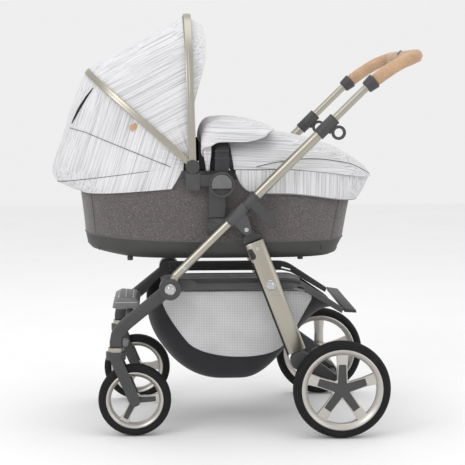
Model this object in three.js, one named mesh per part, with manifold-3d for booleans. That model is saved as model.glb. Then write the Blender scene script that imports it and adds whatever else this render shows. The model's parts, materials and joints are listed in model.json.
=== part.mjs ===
// Baby stroller: a folding chassis on four wheels with a carrycot, hood and apron on it.
// Millimetres, +Z up. The stroller travels towards -X and is pushed from +X.
// The origin is on the ground, in the middle of the outline. "left" is the -Y side.
import * as THREE from 'three';
import { mergeVertices } from 'three/addons/utils/BufferGeometryUtils.js';
import Module from 'manifold-3d';

const wasm = await Module();
wasm.setup();

// ---------------------------------------------------------------- driving dimensions

const gap = 0.3;                 // between pieces that touch
const slideClearance = 0.3;      // radial, between telescoping tubes
const sideClearance = 0.5;       // between pieces that swing past each other

const rearAxleX = 291;
const wheelbase = 569;
const rearWheel = { radius: 135, tyreWidth: 42, rimRadius: 110, rimInner: 96.5, rimWidth: 34,
  spokes: 5, spokeWidth: 30, spokeThickness: 16, hubRadius: 30, boreRadius: 8.2,
  insertReach: 69, insertWidth: 21, firstSpoke: 90 };
const frontWheel = { radius: 100.7, tyreWidth: 36, rimRadius: 76.6, rimInner: 66, rimWidth: 28,
  spokes: 3, spokeWidth: 22, spokeThickness: 14, hubRadius: 19, boreRadius: 6.2,
  insertReach: 58, insertWidth: 14, firstSpoke: 3, pierced: true };
const casterTrail = 51;
const wheelSegments = 32;

const cotWidth = 400;
const cotHead = -436;            // X of the cot's head end at the rim
const cotFoot = 351;             // X of its foot end at the rim
const cotBottom = 484;
const trayLine = 533;            // height of the tray's edge in the middle
const trayRise = 20;             // how much higher the edge is at the head end
const cotRim = 705;
const cotWall = 8;
const trayWall = 5;

const frontPivot = { x: -179, z: 411 };   // hinge of the main tubes on the front legs
const legPivot = { x: 97, z: 418 };       // hinge of the rear legs on the side rails
const slope = 44.6 * Math.PI / 180;       // of the main tubes
const tubeOffset = 14.8;                  // tube axis above the front pivot, square to the slope
const linkPin = { along: 262.6, across: -31.3 };  // rear leg's upper pin, in the tube's frame

const lowerTubeRadius = 12.5;
const lowerTubeBore = lowerTubeRadius - 1.4;
const upperTubeRadius = 13.7;
const sleeveWall = 3.3;          // of the plastic sleeves round the upper tube
const handleTubeRadius = 10.5;
const sleeveRadius = upperTubeRadius + sleeveWall;
const housingStart = 240;
const housingEnd = 308;
const housingStep = 300;
const leverEnd = 348.5;
const lowerTubeEnd = 380;
const collarStart = 583;
const upperTubeEnd = 648;
const handleTubeStart = 560;
const handleBendStart = 742;
const collarFrom = 766;
const gripStart = 796;
const gripRadius = handleTubeRadius + 7;
const gripClearance = 2.2;       // between the handle tube and its wrap, through the tight corners
const gripStep = 19;             // length of one facet of the tube and its wrap
const fingerRing = { along: 627, below: 35, radius: 20, hole: 12, thickness: 10 };
const buttonTravel = 3;

const railThickness = 16.5;
const railHeight = 28.7;
const legThickness = 28;
const legWidth = 54;
const tongueThickness = 15.5;
const frontLegThickness = 28;
const frontLegWidth = 34;
const headRadius = 29.6;

const hoodPivot = { x: -116, z: 747 };
const frontBow = { angle: 91.5, reach: 418, width: 21, thickness: 6 };
const rearBow = { angle: 138.7, reach: 392, width: 18, thickness: 5 };
const bowExponent = 2.6;
const hoodFabric = 2.5;
const hub = { x: -37, z: 696, radius: 35 };

// Planes across the stroller, worked outwards from the cot's side.
const half = cotWidth / 2;
const bracketIn = half + 4.5;
const tongueOut = bracketIn + tongueThickness;
const webIn = tongueOut + sideClearance;
const tubeY = webIn + 0.5 + sleeveRadius;
const railOut = bracketIn - 1;
const railIn = railOut - railThickness;
const legOut = tubeY - sideClearance;
const legIn = legOut - legThickness;
const frontLegIn = tubeY - lowerTubeRadius - frontLegThickness / 2;
const casterY = frontLegIn + frontLegThickness / 2;
const headOut = tubeY + sleeveRadius + 2;
const rearWheelY = headOut + 2 + rearWheel.tyreWidth / 2;

// ---------------------------------------------------------------- materials

const finish = (color, roughness, metalness) =>
  new THREE.MeshStandardMaterial({ color, roughness, metalness });
const champagne = finish(0xb9af9c, 0.35, 0.8);
const greyPlastic = finish(0x565654, 0.5, 0.1);
const darkPlastic = finish(0x333335, 0.55, 0.1);
const tyreRubber = finish(0x1c1c1e, 0.85, 0);
const tanLeather = finish(0xb98d62, 0.6, 0);
const silverPlastic = finish(0xa9a9a6, 0.35, 0.4);
const whiteFabric = finish(0xe6e4e1, 0.9, 0);
const melangeFabric = finish(0x6a605b, 0.95, 0);
const trayPlastic = finish(0x50514d, 0.6, 0);
const meshFabric = finish(0x2c2c2f, 0.9, 0);
const mattressFabric = finish(0xf0eeea, 0.9, 0);

// ---------------------------------------------------------------- geometry helpers

const rad = THREE.MathUtils.degToRad;
const lerp = THREE.MathUtils.lerp;
const smooth = (x, from, to) => THREE.MathUtils.smoothstep(x, from, to);
const signedPower = (value, power) => Math.sign(value) * Math.abs(value) ** power;

/** A closed solid for booleans from any closed geometry. */
function toSolid(geometry) {
  const bare = geometry.clone();
  bare.deleteAttribute('normal');
  bare.deleteAttribute('uv');
  const merged = mergeVertices(bare, 1e-3);
  return new wasm.Manifold(new wasm.Mesh({
    numProp: 3,
    vertProperties: new Float32Array(merged.attributes.position.array),
    triVerts: new Uint32Array(merged.index.array),
  }));
}

function toGeometry(solid) {
  const mesh = solid.getMesh();
  const geometry = new THREE.BufferGeometry();
  geometry.setAttribute('position', new THREE.BufferAttribute(mesh.vertProperties, 3));
  geometry.setIndex(new THREE.BufferAttribute(mesh.triVerts, 1));
  geometry.computeVertexNormals();
  return geometry;
}

function join(...geometries) {
  return toGeometry(geometries.map(toSolid).reduce((sum, solid) => sum.add(solid)));
}

function cut(geometry, ...tools) {
  return toGeometry(tools.map(toSolid).reduce((rest, tool) => rest.subtract(tool), toSolid(geometry)));
}

/** The same geometry on the other side of the stroller. */
function mirrorY(geometry) {
  const copy = geometry.clone().scale(1, -1, 1);
  if (!copy.index) {
    copy.setIndex([...Array(copy.attributes.position.count).keys()]);
  }
  const index = copy.index.array;
  for (let i = 0; i < index.length; i += 3) {
    [index[i + 1], index[i + 2]] = [index[i + 2], index[i + 1]];
  }
  return copy;
}

/** A flat shape in the XZ plane, given thickness between two Y planes. */
function slab(shape, yFrom, yTo, bevel = 0, curveSegments = 4) {
  const geometry = new THREE.ExtrudeGeometry(shape, {
    depth: yTo - yFrom - 2 * bevel,
    bevelEnabled: bevel > 0,
    bevelThickness: bevel,
    bevelSize: bevel,
    bevelOffset: -bevel,
    bevelSegments: 1,
    curveSegments,
  });
  return geometry.rotateX(Math.PI / 2).translate(0, yTo - bevel, 0);
}

function polygon(points) {
  return new THREE.Shape(points.map(([x, z]) => new THREE.Vector2(x, z)));
}

function rectangle(x0, x1, z0, z1) {
  return polygon([[x0, z0], [x1, z0], [x1, z1], [x0, z1]]);
}

/** The outline of a belt around two circles. */
function belt(a, radiusA, b, radiusB) {
  const angle = Math.atan2(b.z - a.z, b.x - a.x);
  const spread = Math.acos((radiusA - radiusB) / Math.hypot(b.x - a.x, b.z - a.z));
  const shape = new THREE.Shape();
  shape.absarc(a.x, a.z, radiusA, angle + spread, angle + 2 * Math.PI - spread, false);
  shape.absarc(b.x, b.z, radiusB, angle - spread, angle + spread, false);
  return shape;
}

function roundedRectangle(width, height, radius) {
  const x = width / 2 - radius;
  const y = height / 2 - radius;
  const shape = new THREE.Shape();
  shape.absarc(x, y, radius, 0, Math.PI / 2, false);
  shape.absarc(-x, y, radius, Math.PI / 2, Math.PI, false);
  shape.absarc(-x, -y, radius, Math.PI, 1.5 * Math.PI, false);
  shape.absarc(x, -y, radius, 1.5 * Math.PI, 2 * Math.PI, false);
  return shape;
}

function disc(radius, hole = 0) {
  const shape = new THREE.Shape();
  shape.absarc(0, 0, radius, 0, 2 * Math.PI, false);
  if (hole > 0) {
    const path = new THREE.Path();
    path.absarc(0, 0, hole, 0, 2 * Math.PI, true);
    shape.holes.push(path);
  }
  return shape;
}

/** A round rod across the stroller. */
function rodY(radius, yFrom, yTo, x = 0, z = 0, segments = 20) {
  return new THREE.CylinderGeometry(radius, radius, yTo - yFrom, segments)
    .translate(x, (yFrom + yTo) / 2, z);
}

/** A box given by its limits. */
function block(x0, x1, y0, y1, z0, z1) {
  return new THREE.BoxGeometry(x1 - x0, y1 - y0, z1 - z0)
    .translate((x0 + x1) / 2, (y0 + y1) / 2, (z0 + z1) / 2);
}

/** A hollow tube along +X, turned from a profile of [radius, x] points. */
function turnedX(profile, segments = 18) {
  const points = [...profile, profile[0]].map(([radius, x]) => new THREE.Vector2(radius, x));
  return new THREE.LatheGeometry(points, segments).rotateZ(-Math.PI / 2);
}

/** A sweep of a closed shape along a curve. */
function sweep(shape, curve, steps, curveSegments = 4) {
  return new THREE.ExtrudeGeometry(shape, { steps, extrudePath: curve, curveSegments });
}

/** A closed shell between two grids of points; wrap closes the grid along its rows. */
function shell(outer, inner, wrap = false) {
  const rows = outer.length;
  const columns = outer[0].length;
  const positions = [...outer.flat(), ...inner.flat()].flatMap((p) => [p.x, p.y, p.z]);
  const out = (i, j) => i * columns + (j % columns);
  const into = (i, j) => rows * columns + i * columns + (j % columns);
  const index = [];
  const quad = (a, b, c, d) => index.push(a, b, c, a, c, d);
  const last = wrap ? columns : columns - 1;
  for (let i = 0; i < rows - 1; i += 1) {
    for (let j = 0; j < last; j += 1) {
      quad(out(i, j), out(i, j + 1), out(i + 1, j + 1), out(i + 1, j));
      quad(into(i, j), into(i + 1, j), into(i + 1, j + 1), into(i, j + 1));
    }
    if (!wrap) {
      quad(out(i, 0), out(i + 1, 0), into(i + 1, 0), into(i, 0));
      quad(out(i, last), into(i, last), into(i + 1, last), out(i + 1, last));
    }
  }
  for (let j = 0; j < last; j += 1) {
    quad(out(0, j), into(0, j), into(0, j + 1), out(0, j + 1));
    quad(out(rows - 1, j), out(rows - 1, j + 1), into(rows - 1, j + 1), into(rows - 1, j));
  }
  return facingOut(positions, index);
}

/** A closed body through a row of rings, with a flat or domed end at each end ring. */
function loft(rings) {
  const count = rings[0].length;
  const positions = rings.flat().flatMap((p) => [p.x, p.y, p.z]);
  const index = [];
  for (let i = 0; i < rings.length - 1; i += 1) {
    for (let j = 0; j < count; j += 1) {
      const a = i * count + j;
      const b = i * count + (j + 1) % count;
      index.push(a, b, b + count, a, b + count, a + count);
    }
  }
  [0, rings.length - 1].forEach((row) => {
    const centre = new THREE.Vector3();
    rings[row].forEach((p) => centre.addScaledVector(p, 1 / count));
    const middle = positions.length / 3;
    positions.push(centre.x, centre.y, centre.z);
    for (let j = 0; j < count; j += 1) {
      const a = row * count + j;
      const b = row * count + (j + 1) % count;
      index.push(...(row === 0 ? [middle, b, a] : [middle, a, b]));
    }
  });
  return facingOut(positions, index);
}

function facingOut(positions, index) {
  const corner = (i) => new THREE.Vector3().fromArray(positions, 3 * index[i]);
  let volume = 0;
  for (let i = 0; i < index.length; i += 3) {
    volume += corner(i).dot(corner(i + 1).cross(corner(i + 2)));
  }
  if (volume < 0) {
    index.reverse();
  }
  const geometry = new THREE.BufferGeometry();
  geometry.setAttribute('position', new THREE.Float32BufferAttribute(positions, 3));
  geometry.setIndex(index);
  geometry.computeVertexNormals();
  return geometry;
}

/** A level ring with squarish ends; height is a number or a function of X. */
function planRing(xFrom, xTo, halfWidth, height, exponent = 3.4, count = 28) {
  const middle = (xFrom + xTo) / 2;
  const reach = (xTo - xFrom) / 2;
  return Array.from({ length: count }, (_, i) => {
    const angle = 2 * Math.PI * i / count;
    const x = middle + reach * signedPower(Math.cos(angle), 2 / exponent);
    const y = halfWidth * signedPower(Math.sin(angle), 2 / exponent);
    return new THREE.Vector3(x, y, typeof height === 'function' ? height(x) : height);
  });
}

// ---------------------------------------------------------------- scene graph

const stroller = new THREE.Group();

function add(parent, name, geometry, material, x = 0, y = 0, z = 0) {
  const mesh = new THREE.Mesh(geometry, material);
  mesh.name = name;
  mesh.position.set(x, y, z);
  parent.add(mesh);
  return mesh;
}

/** The right-hand piece as given, and its mirror image on the left. */
function addPair(parent, name, geometry, material, x = 0, y = 0, z = 0) {
  add(parent, `${name}_right`, geometry, material, x, y, z);
  add(parent, `${name}_left`, mirrorY(geometry), material, x, -y, z);
}

// The main tubes' own frame: +X along the tubes, +Z square to them, origin at the front pivot.
const tubeFrame = new THREE.Group();
tubeFrame.position.set(frontPivot.x, 0, frontPivot.z);
tubeFrame.rotation.y = -slope;
stroller.add(tubeFrame);

/** A point of the tubes' frame in the stroller's frame. */
function onSlope(along, across) {
  return {
    x: frontPivot.x + along * Math.cos(slope) - across * Math.sin(slope),
    z: frontPivot.z + along * Math.sin(slope) + across * Math.cos(slope),
  };
}

// ---------------------------------------------------------------- wheels

function tyreGeometry(wheel) {
  const inner = wheel.rimRadius + gap;
  const wide = wheel.tyreWidth / 2;
  const seat = wheel.rimWidth / 2;
  const profile = [[inner, -seat], [wheel.radius - 12, -wide], [wheel.radius - 3, -wide * 0.7],
    [wheel.radius, -wide * 0.3], [wheel.radius, wide * 0.3], [wheel.radius - 3, wide * 0.7],
    [wheel.radius - 12, wide], [inner, seat], [inner, -seat]];
  return new THREE.LatheGeometry(profile.map(([r, y]) => new THREE.Vector2(r, y)), wheelSegments);
}

/** A box from the wheel's centre outwards at an angle, in the wheel's XZ plane. */
function arm(angle, from, to, width, yFrom, yTo) {
  return block(from, to, yFrom, yTo, -width / 2, width / 2).rotateY(-rad(angle));
}

const spokeAngles = (wheel) =>
  Array.from({ length: wheel.spokes }, (_, i) => wheel.firstSpoke + i * 360 / wheel.spokes);

function rimGeometry(wheel) {
  const seat = wheel.rimWidth / 2;
  const thick = wheel.spokeThickness / 2;
  const dish = (wheel.rimRadius + wheel.rimInner) / 2;
  const profile = [[wheel.rimInner, -seat + 3], [dish, -seat], [wheel.rimRadius, -seat],
    [wheel.rimRadius, seat], [dish, seat], [wheel.rimInner, seat - 3], [wheel.rimInner, -seat + 3]];
  const ring = new THREE.LatheGeometry(profile.map(([r, y]) => new THREE.Vector2(r, y)), wheelSegments);
  const spokes = spokeAngles(wheel).map((angle) =>
    arm(angle, 0, wheel.rimInner + 2, wheel.spokeWidth, -thick, thick));
  const body = join(ring, rodY(wheel.hubRadius, -seat, thick), ...spokes);
  return cut(body, rodY(wheel.boreRadius, -wheel.tyreWidth, wheel.tyreWidth));
}

/** The grey star on the outside of the spokes. */
function insertGeometry(wheel) {
  const face = wheel.spokeThickness / 2 + gap;
  const arms = spokeAngles(wheel).map((angle) =>
    arm(angle, 0, wheel.insertReach, wheel.insertWidth, face, face + 4));
  const star = join(rodY(wheel.hubRadius * 0.8, face, face + 5), ...arms);
  return wheel.pierced ? cut(star, rodY(wheel.boreRadius, 0, wheel.tyreWidth)) : star;
}

function addWheel(name, wheel, x, y) {
  addPair(stroller, `${name}_tyre`, tyreGeometry(wheel), tyreRubber, x, y, wheel.radius);
  addPair(stroller, `${name}_rim`, rimGeometry(wheel), champagne, x, y, wheel.radius);
  addPair(stroller, `${name}_hub_insert`, insertGeometry(wheel), greyPlastic, x, y, wheel.radius);
}

const frontWheelX = rearAxleX - wheelbase;
const swivelX = frontWheelX - casterTrail;
addWheel('rear', rearWheel, rearAxleX, rearWheelY);
addWheel('front', frontWheel, frontWheelX, casterY);

// ---------------------------------------------------------------- front legs and casters

const legEndZ = 248;
const collarBottomZ = 235;

function frontLeg() {
  const bend = new THREE.CurvePath();
  const top = new THREE.Vector3(frontPivot.x, 0, frontPivot.z);
  const elbow = new THREE.Vector3(swivelX, 0, frontPivot.z - 122);
  const beforeElbow = top.clone().lerp(elbow, 0.78);
  const afterElbow = new THREE.Vector3(swivelX, 0, elbow.z - 22);
  bend.add(new THREE.LineCurve3(top, beforeElbow));
  bend.add(new THREE.QuadraticBezierCurve3(beforeElbow, elbow, afterElbow));
  bend.add(new THREE.LineCurve3(afterElbow, new THREE.Vector3(swivelX, 0, legEndZ)));
  const section = roundedRectangle(frontLegThickness, frontLegWidth, 7);
  const tube = sweep(section, bend, 14, 1).translate(0, casterY, 0);
  const head = rodY(headRadius, frontLegIn - 6, headOut, frontPivot.x, frontPivot.z, 32);
  const slotIn = tubeY - lowerTubeRadius - sideClearance;
  const slotOut = tubeY + lowerTubeRadius + sideClearance;
  const reach = headRadius + 10;
  const slot = slab(belt(frontPivot, lowerTubeRadius + 3.5,
    { x: frontPivot.x + reach, z: frontPivot.z + reach * 0.9 }, reach * 0.9), slotIn, slotOut);
  const pin = rodY(5, frontLegIn, headOut, frontPivot.x, frontPivot.z, 16);
  return join(cut(join(tube, head), slot), pin);
}

function fork() {
  const armIn = frontWheel.tyreWidth / 2 + 2.5;
  const armOut = armIn + 8;
  const stemTop = legEndZ - gap;
  const wheelCentre = { x: frontWheelX, z: frontWheel.radius };
  const crown = { x: swivelX + 2, z: frontWheel.radius * 2 + 13 };
  const arms = [-1, 1].map((side) => {
    const y0 = side > 0 ? armIn : -armOut;
    return slab(belt(crown, 16, wheelCentre, 15), y0, y0 + 8, 1.5);
  });
  const bridge = new THREE.CylinderGeometry(armOut - 1, armOut - 1, collarBottomZ - crown.z, 28)
    .rotateX(Math.PI / 2).translate(swivelX, 0, (collarBottomZ + crown.z) / 2);
  const stem = new THREE.CylinderGeometry(19.5, 19.5, stemTop - collarBottomZ + 4, 24)
    .rotateX(Math.PI / 2).translate(swivelX, 0, (stemTop + collarBottomZ - 4) / 2);
  const axle = rodY(frontWheel.boreRadius - gap, -armOut + 2, armOut - 2, wheelCentre.x, wheelCentre.z, 16);
  return join(...arms, bridge, stem, axle);
}

function swivelLock() {
  const pivot = { x: swivelX + frontLegWidth / 2 + gap, z: legEndZ + 9 };
  return slab(belt({ x: pivot.x + 9, z: pivot.z + 6 }, 9, { x: pivot.x + 8, z: pivot.z }, 8),
    casterY - 9, casterY + 9, 2);
}

addPair(stroller, 'front_leg', frontLeg(), greyPlastic);
addPair(stroller, 'caster_fork', fork(), greyPlastic, 0, casterY);
addPair(stroller, 'swivel_lock', swivelLock(), silverPlastic);

const crossbar = { x: swivelX + 35, z: 318, radius: 11 };
add(stroller, 'front_crossbar',
  rodY(crossbar.radius, -frontLegIn + gap, frontLegIn - gap, crossbar.x, crossbar.z), greyPlastic);

/** The footplate's outline, measured from the crossbar that it is clipped on. */
function footplate() {
  const outline = [[-49, 16], [-42, 39], [-24, 48], [18, 44], [30, 32], [28, 18], [12, 12], [-36, 11.6]];
  const top = polygon(outline.map(([x, z]) => [crossbar.x + x, crossbar.z + z]));
  return slab(top, -86, 86, 4);
}

add(stroller, 'footplate', footplate(), darkPlastic);

// ---------------------------------------------------------------- side rails and basket

const railEnd = { x: rearAxleX + 12, z: 342 };

function sideRail() {
  const top = frontPivot.z + 20;
  const bottom = top - railHeight;
  const shape = new THREE.Shape();
  shape.moveTo(frontPivot.x, bottom);
  shape.lineTo(legPivot.x + 63, bottom);
  shape.quadraticCurveTo(legPivot.x + 83, bottom, legPivot.x + 99, bottom - 8);
  shape.lineTo(railEnd.x - 4, railEnd.z - 9);
  shape.lineTo(railEnd.x + 2, railEnd.z + 4);
  shape.lineTo(legPivot.x + 99, top - 13);
  shape.quadraticCurveTo(legPivot.x + 79, top, legPivot.x + 53, top);
  shape.lineTo(frontPivot.x, top);
  const rail = slab(shape, railIn, railOut, 2);
  const slotShape = polygon([[66, 408], [95, 400], [97, 405], [68, 413]].map(([x, z]) => [legPivot.x + x, z]));
  const slot = slab(slotShape, railIn - 1, railOut + 1);
  const boss = rodY(12, railIn + 3, legIn - gap, legPivot.x, legPivot.z, 20);
  const pin = rodY(7, railIn + 3, legOut - 1, legPivot.x, legPivot.z, 16);
  const neck = slab(belt(frontPivot, 20, { x: frontPivot.x + 60, z: frontPivot.z + 5 }, 13),
    railIn + 2, frontLegIn - 6 - gap);
  return join(cut(rail, slot), boss, pin, neck);
}

addPair(stroller, 'side_rail', sideRail(), greyPlastic);

const plateProfile = polygon([[railEnd.x + 3, 347], [railEnd.x + 36, 342], [railEnd.x + 38, 334],
  [railEnd.x + 4, 336]]);
add(stroller, 'rear_crossplate', slab(plateProfile, -railOut, railOut, 1), darkPlastic);

/** The cloth basket: each level runs in towards the middle of the rounded floor. */
function basket() {
  const front = frontPivot.x - 67;
  const back = rearAxleX;
  const floor = 140;
  const wall = 3;
  const frontRun = 195;
  const backRun = 250;
  const rimHeight = (x) => 396 - 66 * smooth(x, 175, 320) - 34 * smooth(-x, 180, 245);
  const ring = (v, inset) => {
    const turn = v * Math.PI / 2;
    const height = (x) => lerp(rimHeight(x), floor + inset, Math.sin(turn));
    return planRing(front + frontRun * (1 - Math.cos(turn)) ** 1.05 + inset,
      back - backRun * v ** 0.8 - inset, lerp(railIn - 4, 140, v ** 2.5) - inset, height, 5, 28);
  };
  const levels = [0, 0.12, 0.3, 0.5, 0.7, 0.86, 1];
  const outside = levels.map((v) => ring(v, 0));
  const inside = levels.map((v) => ring(v, wall)).reverse();
  return loft([...outside.reverse(), ...inside.reverse()]);
}

add(stroller, 'basket', basket(), meshFabric);

// ---------------------------------------------------------------- main tubes

function lowerTube() {
  const tube = turnedX([[lowerTubeBore, 60], [lowerTubeRadius, 42], [lowerTubeRadius, lowerTubeEnd],
    [lowerTubeBore, lowerTubeEnd]]).translate(0, tubeY, tubeOffset);
  const plug = turnedX([[0, 40], [lowerTubeRadius, 40], [lowerTubeRadius, 62], [0, 62]])
    .translate(0, tubeY, tubeOffset);
  const ferrule = slab(belt({ x: 0, z: 0 }, lowerTubeRadius, { x: 34, z: tubeOffset }, lowerTubeRadius + 1),
    tubeY - lowerTubeRadius, tubeY + lowerTubeRadius, 2);
  const hole = rodY(5.5, tubeY - 20, tubeY + 20, 0, 0, 16);
  return cut(join(tube, plug, ferrule), hole);
}

/** The sliding housing: sleeve, ear for the rear leg and receiver for the cot's post. */
const receiver = { x0: -75, x1: -28, z0: 556, z1: 603 };

function slideHousing() {
  const sleeve = turnedX([[lowerTubeRadius + slideClearance, housingStart], [sleeveRadius, housingStart],
    [sleeveRadius, housingEnd], [upperTubeRadius + gap, housingEnd],
    [upperTubeRadius + gap, housingStep], [lowerTubeRadius + slideClearance, housingStep]])
    .translate(0, tubeY, tubeOffset);
  const pin = { x: linkPin.along, z: linkPin.across };
  const ear = slab(belt({ x: pin.x + 8, z: tubeOffset - sleeveRadius + 1 }, 22, pin, 14),
    legOut + sideClearance, legOut + sideClearance + 12, 2);
  const bore = turnedX([[0, housingStart - 60], [lowerTubeRadius + slideClearance, housingStart - 60],
    [lowerTubeRadius + slideClearance, housingEnd + 60], [0, housingEnd + 60]])
    .translate(0, tubeY, tubeOffset);
  const tubeRoom = turnedX([[0, housingStep], [upperTubeRadius + gap, housingStep],
    [upperTubeRadius + gap, housingEnd + 60], [0, housingEnd + 60]]).translate(0, tubeY, tubeOffset);
  const turned = (geometry) => geometry.translate(-frontPivot.x, 0, -frontPivot.z).rotateY(slope);
  const boxShape = rectangle(receiver.x0, receiver.x1, receiver.z0, receiver.z1);
  const box = turned(slab(boxShape, bracketIn + 1.2, webIn + 4.3));
  const webShape = polygon([[receiver.x1 - 20, receiver.z1 - 46], [receiver.x1 + 4, receiver.z1 - 30],
    [receiver.x1 + 30, receiver.z1 + 10], [receiver.x1 + 4, receiver.z1 - 1]]);
  const web = turned(slab(webShape, webIn, webIn + 4.3));
  const pocket = turned(slab(rectangle(receiver.x0 + 7, receiver.x1 - 7, receiver.z1 - 26, receiver.z1 + 10),
    bracketIn + 4, bracketIn + 13));
  return cut(join(sleeve, ear, box, web), bore, tubeRoom, pocket);
}

function upperTube() {
  const inner = lowerTubeRadius + slideClearance;
  return turnedX([[inner, housingStep + gap], [upperTubeRadius, housingStep + gap],
    [upperTubeRadius, upperTubeEnd], [inner, upperTubeEnd]]).translate(0, tubeY, tubeOffset);
}

/** The collar with a wing that is pushed up the tube to free the fold. */
function foldLever() {
  const bore = upperTubeRadius + gap;
  const start = housingEnd + sideClearance;
  const collar = turnedX([[bore, start], [sleeveRadius + 0.5, start], [sleeveRadius + 0.5, leverEnd],
    [bore, leverEnd]]).translate(0, tubeY, tubeOffset);
  const wing = slab(belt({ x: 327, z: tubeOffset - bore - 3 }, 15, { x: 326, z: -68 }, 14),
    tubeY + 2, tubeY + sleeveRadius - 1, 2);
  const room = turnedX([[0, start - 30], [bore, start - 30], [bore, leverEnd + 30], [0, leverEnd + 30]])
    .translate(0, tubeY, tubeOffset);
  return cut(join(collar, wing), room);
}

/** The collar at the top of the upper tube, with the finger ring that is pulled up. */
function ringTrigger() {
  const bore = upperTubeRadius + gap;
  const collar = turnedX([[bore, collarStart], [sleeveRadius, collarStart],
    [sleeveRadius, upperTubeEnd - 1], [bore, upperTubeEnd - 1]]).translate(0, tubeY, tubeOffset);
  const { along, radius, hole, thickness } = fingerRing;
  const centre = { x: along, z: tubeOffset - fingerRing.below };
  const ring = slab(disc(radius), tubeY - thickness / 2, tubeY + thickness / 2, 1.5, 10)
    .translate(centre.x, 0, centre.z);
  const neck = block(along - radius, along + 9, tubeY - 6, tubeY + 6, centre.z + 14, tubeOffset - bore + 2);
  const room = turnedX([[0, collarStart - 30], [bore, collarStart - 30], [bore, upperTubeEnd + 30],
    [0, upperTubeEnd + 30]]).translate(0, tubeY, tubeOffset);
  const finger = rodY(hole, tubeY - 2 * thickness, tubeY + 2 * thickness, centre.x, centre.z, 20);
  return cut(join(collar, ring, neck), room, finger);
}

addPair(tubeFrame, 'lower_tube', lowerTube(), champagne);
addPair(tubeFrame, 'slide_housing', slideHousing(), greyPlastic);
addPair(tubeFrame, 'upper_tube', upperTube(), champagne);
addPair(tubeFrame, 'fold_lever', foldLever(), greyPlastic);
addPair(tubeFrame, 'ring_trigger', ringTrigger(), greyPlastic);

// ---------------------------------------------------------------- handlebar

const handleTop = { along: 928.7, across: -24 };
const cornerRun = 48;

/** The handle's centreline in the tubes' frame, from one distance along the right tube round. */
function handleCurve(start) {
  const path = new THREE.CurvePath();
  const sides = [1, -1].map((side) => {
    const at = (along, across, inset = 0) => new THREE.Vector3(along, side * (tubeY - inset), across);
    const bendAt = at(Math.max(start + 1, handleBendStart), tubeOffset);
    const straight = new THREE.LineCurve3(at(start, tubeOffset), bendAt);
    const rise = new THREE.CubicBezierCurve3(bendAt,
      at(800, 14), at(846, 6), at(handleTop.along - 40, handleTop.across + 17));
    const corner = new THREE.QuadraticBezierCurve3(at(handleTop.along - 40, handleTop.across + 17),
      at(handleTop.along, handleTop.across), at(handleTop.along, handleTop.across, cornerRun));
    return [straight, rise, corner];
  });
  const flip = (curve) => {
    const points = [curve.v0, curve.v1, curve.v2, curve.v3].filter(Boolean).reverse();
    return new curve.constructor(...points);
  };
  sides[0].forEach((curve) => path.add(curve));
  path.add(new THREE.LineCurve3(sides[0][2].v2, sides[1][2].v2));
  [...sides[1]].reverse().forEach((curve) => path.add(flip(curve)));
  return path;
}

class PartOfCurve extends THREE.Curve {
  constructor(curve, from, to) {
    super();
    Object.assign(this, { curve, from, to });
  }

  getPoint(t) {
    return this.curve.getPointAt(lerp(this.from, this.to, t));
  }
}

const handleLine = handleCurve(handleTubeStart);
const handleLength = handleLine.getLength();
const gripFrom = (gripStart - handleTubeStart + gap) / handleLength;
const gripFacets = Math.round((1 - 2 * gripFrom) * handleLength / gripStep);
const tubeFacets = Math.round(handleLength / gripStep);
add(tubeFrame, 'handle_tube', sweep(disc(handleTubeRadius), handleLine, tubeFacets, 6), champagne);

function handleGrip() {
  const line = new PartOfCurve(handleLine, gripFrom, 1 - gripFrom);
  const sleeve = sweep(disc(gripRadius, handleTubeRadius + gripClearance), line, gripFacets, 6);
  const window = block(handleTop.along - 30, handleTop.along + 30, -19, 19, handleTop.across - 1,
    handleTop.across + 40);
  return cut(sleeve, window);
}

add(tubeFrame, 'handle_grip', handleGrip(), tanLeather);

/** A tapered collar that follows the start of the handle's bend. */
function gripCollar() {
  const stations = [0, 0.5, 1];
  const ring = (v, radius) => {
    const at = (lerp(collarFrom, gripStart, v) - handleTubeStart) / handleLength;
    const centre = handleLine.getPointAt(at);
    const along = handleLine.getTangentAt(at);
    const up = new THREE.Vector3(-along.z, 0, along.x);
    return Array.from({ length: 20 }, (_, i) => {
      const angle = 2 * Math.PI * i / 20;
      return centre.clone().addScaledVector(up, radius * Math.cos(angle))
        .add(new THREE.Vector3(0, radius * Math.sin(angle), 0));
    });
  };
  return shell(stations.map((v) => ring(v, lerp(gripRadius, gripRadius + 4, v))),
    stations.map((v) => ring(v, handleTubeRadius + 0.9)), true);
}

addPair(tubeFrame, 'grip_collar', gripCollar(), greyPlastic);

function heightButton() {
  const bottom = handleTop.across + handleTubeRadius + gap + buttonTravel;
  return loft([0, 4, 6.5].map((rise) => planRing(handleTop.along - 9 + rise / 4,
    handleTop.along + 9 - rise / 4, 18 - rise / 3, bottom + rise, 3, 24)));
}

add(tubeFrame, 'height_button', heightButton(), silverPlastic);

// ---------------------------------------------------------------- rear legs, axle and brake

const pinPoint = onSlope(linkPin.along, linkPin.across);
const legTop = { x: 52, z: 537.5 };
const legFoot = { x: 170.5, z: 231 };
const legRun = Math.hypot(legFoot.x - legTop.x, legFoot.z - legTop.z);
const legDown = { x: (legFoot.x - legTop.x) / legRun, z: (legFoot.z - legTop.z) / legRun };
const legMiddleY = (legIn + legOut) / 2;

function rearLeg() {
  const line = new THREE.LineCurve3(new THREE.Vector3(legTop.x, legMiddleY, legTop.z),
    new THREE.Vector3(legFoot.x, legMiddleY, legFoot.z));
  const tube = sweep(roundedRectangle(legThickness, legWidth, legThickness / 2 - 1), line, 1, 3);
  return cut(tube, rodY(7.6, legIn - 5, legOut + 5, legPivot.x, legPivot.z, 16));
}

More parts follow.
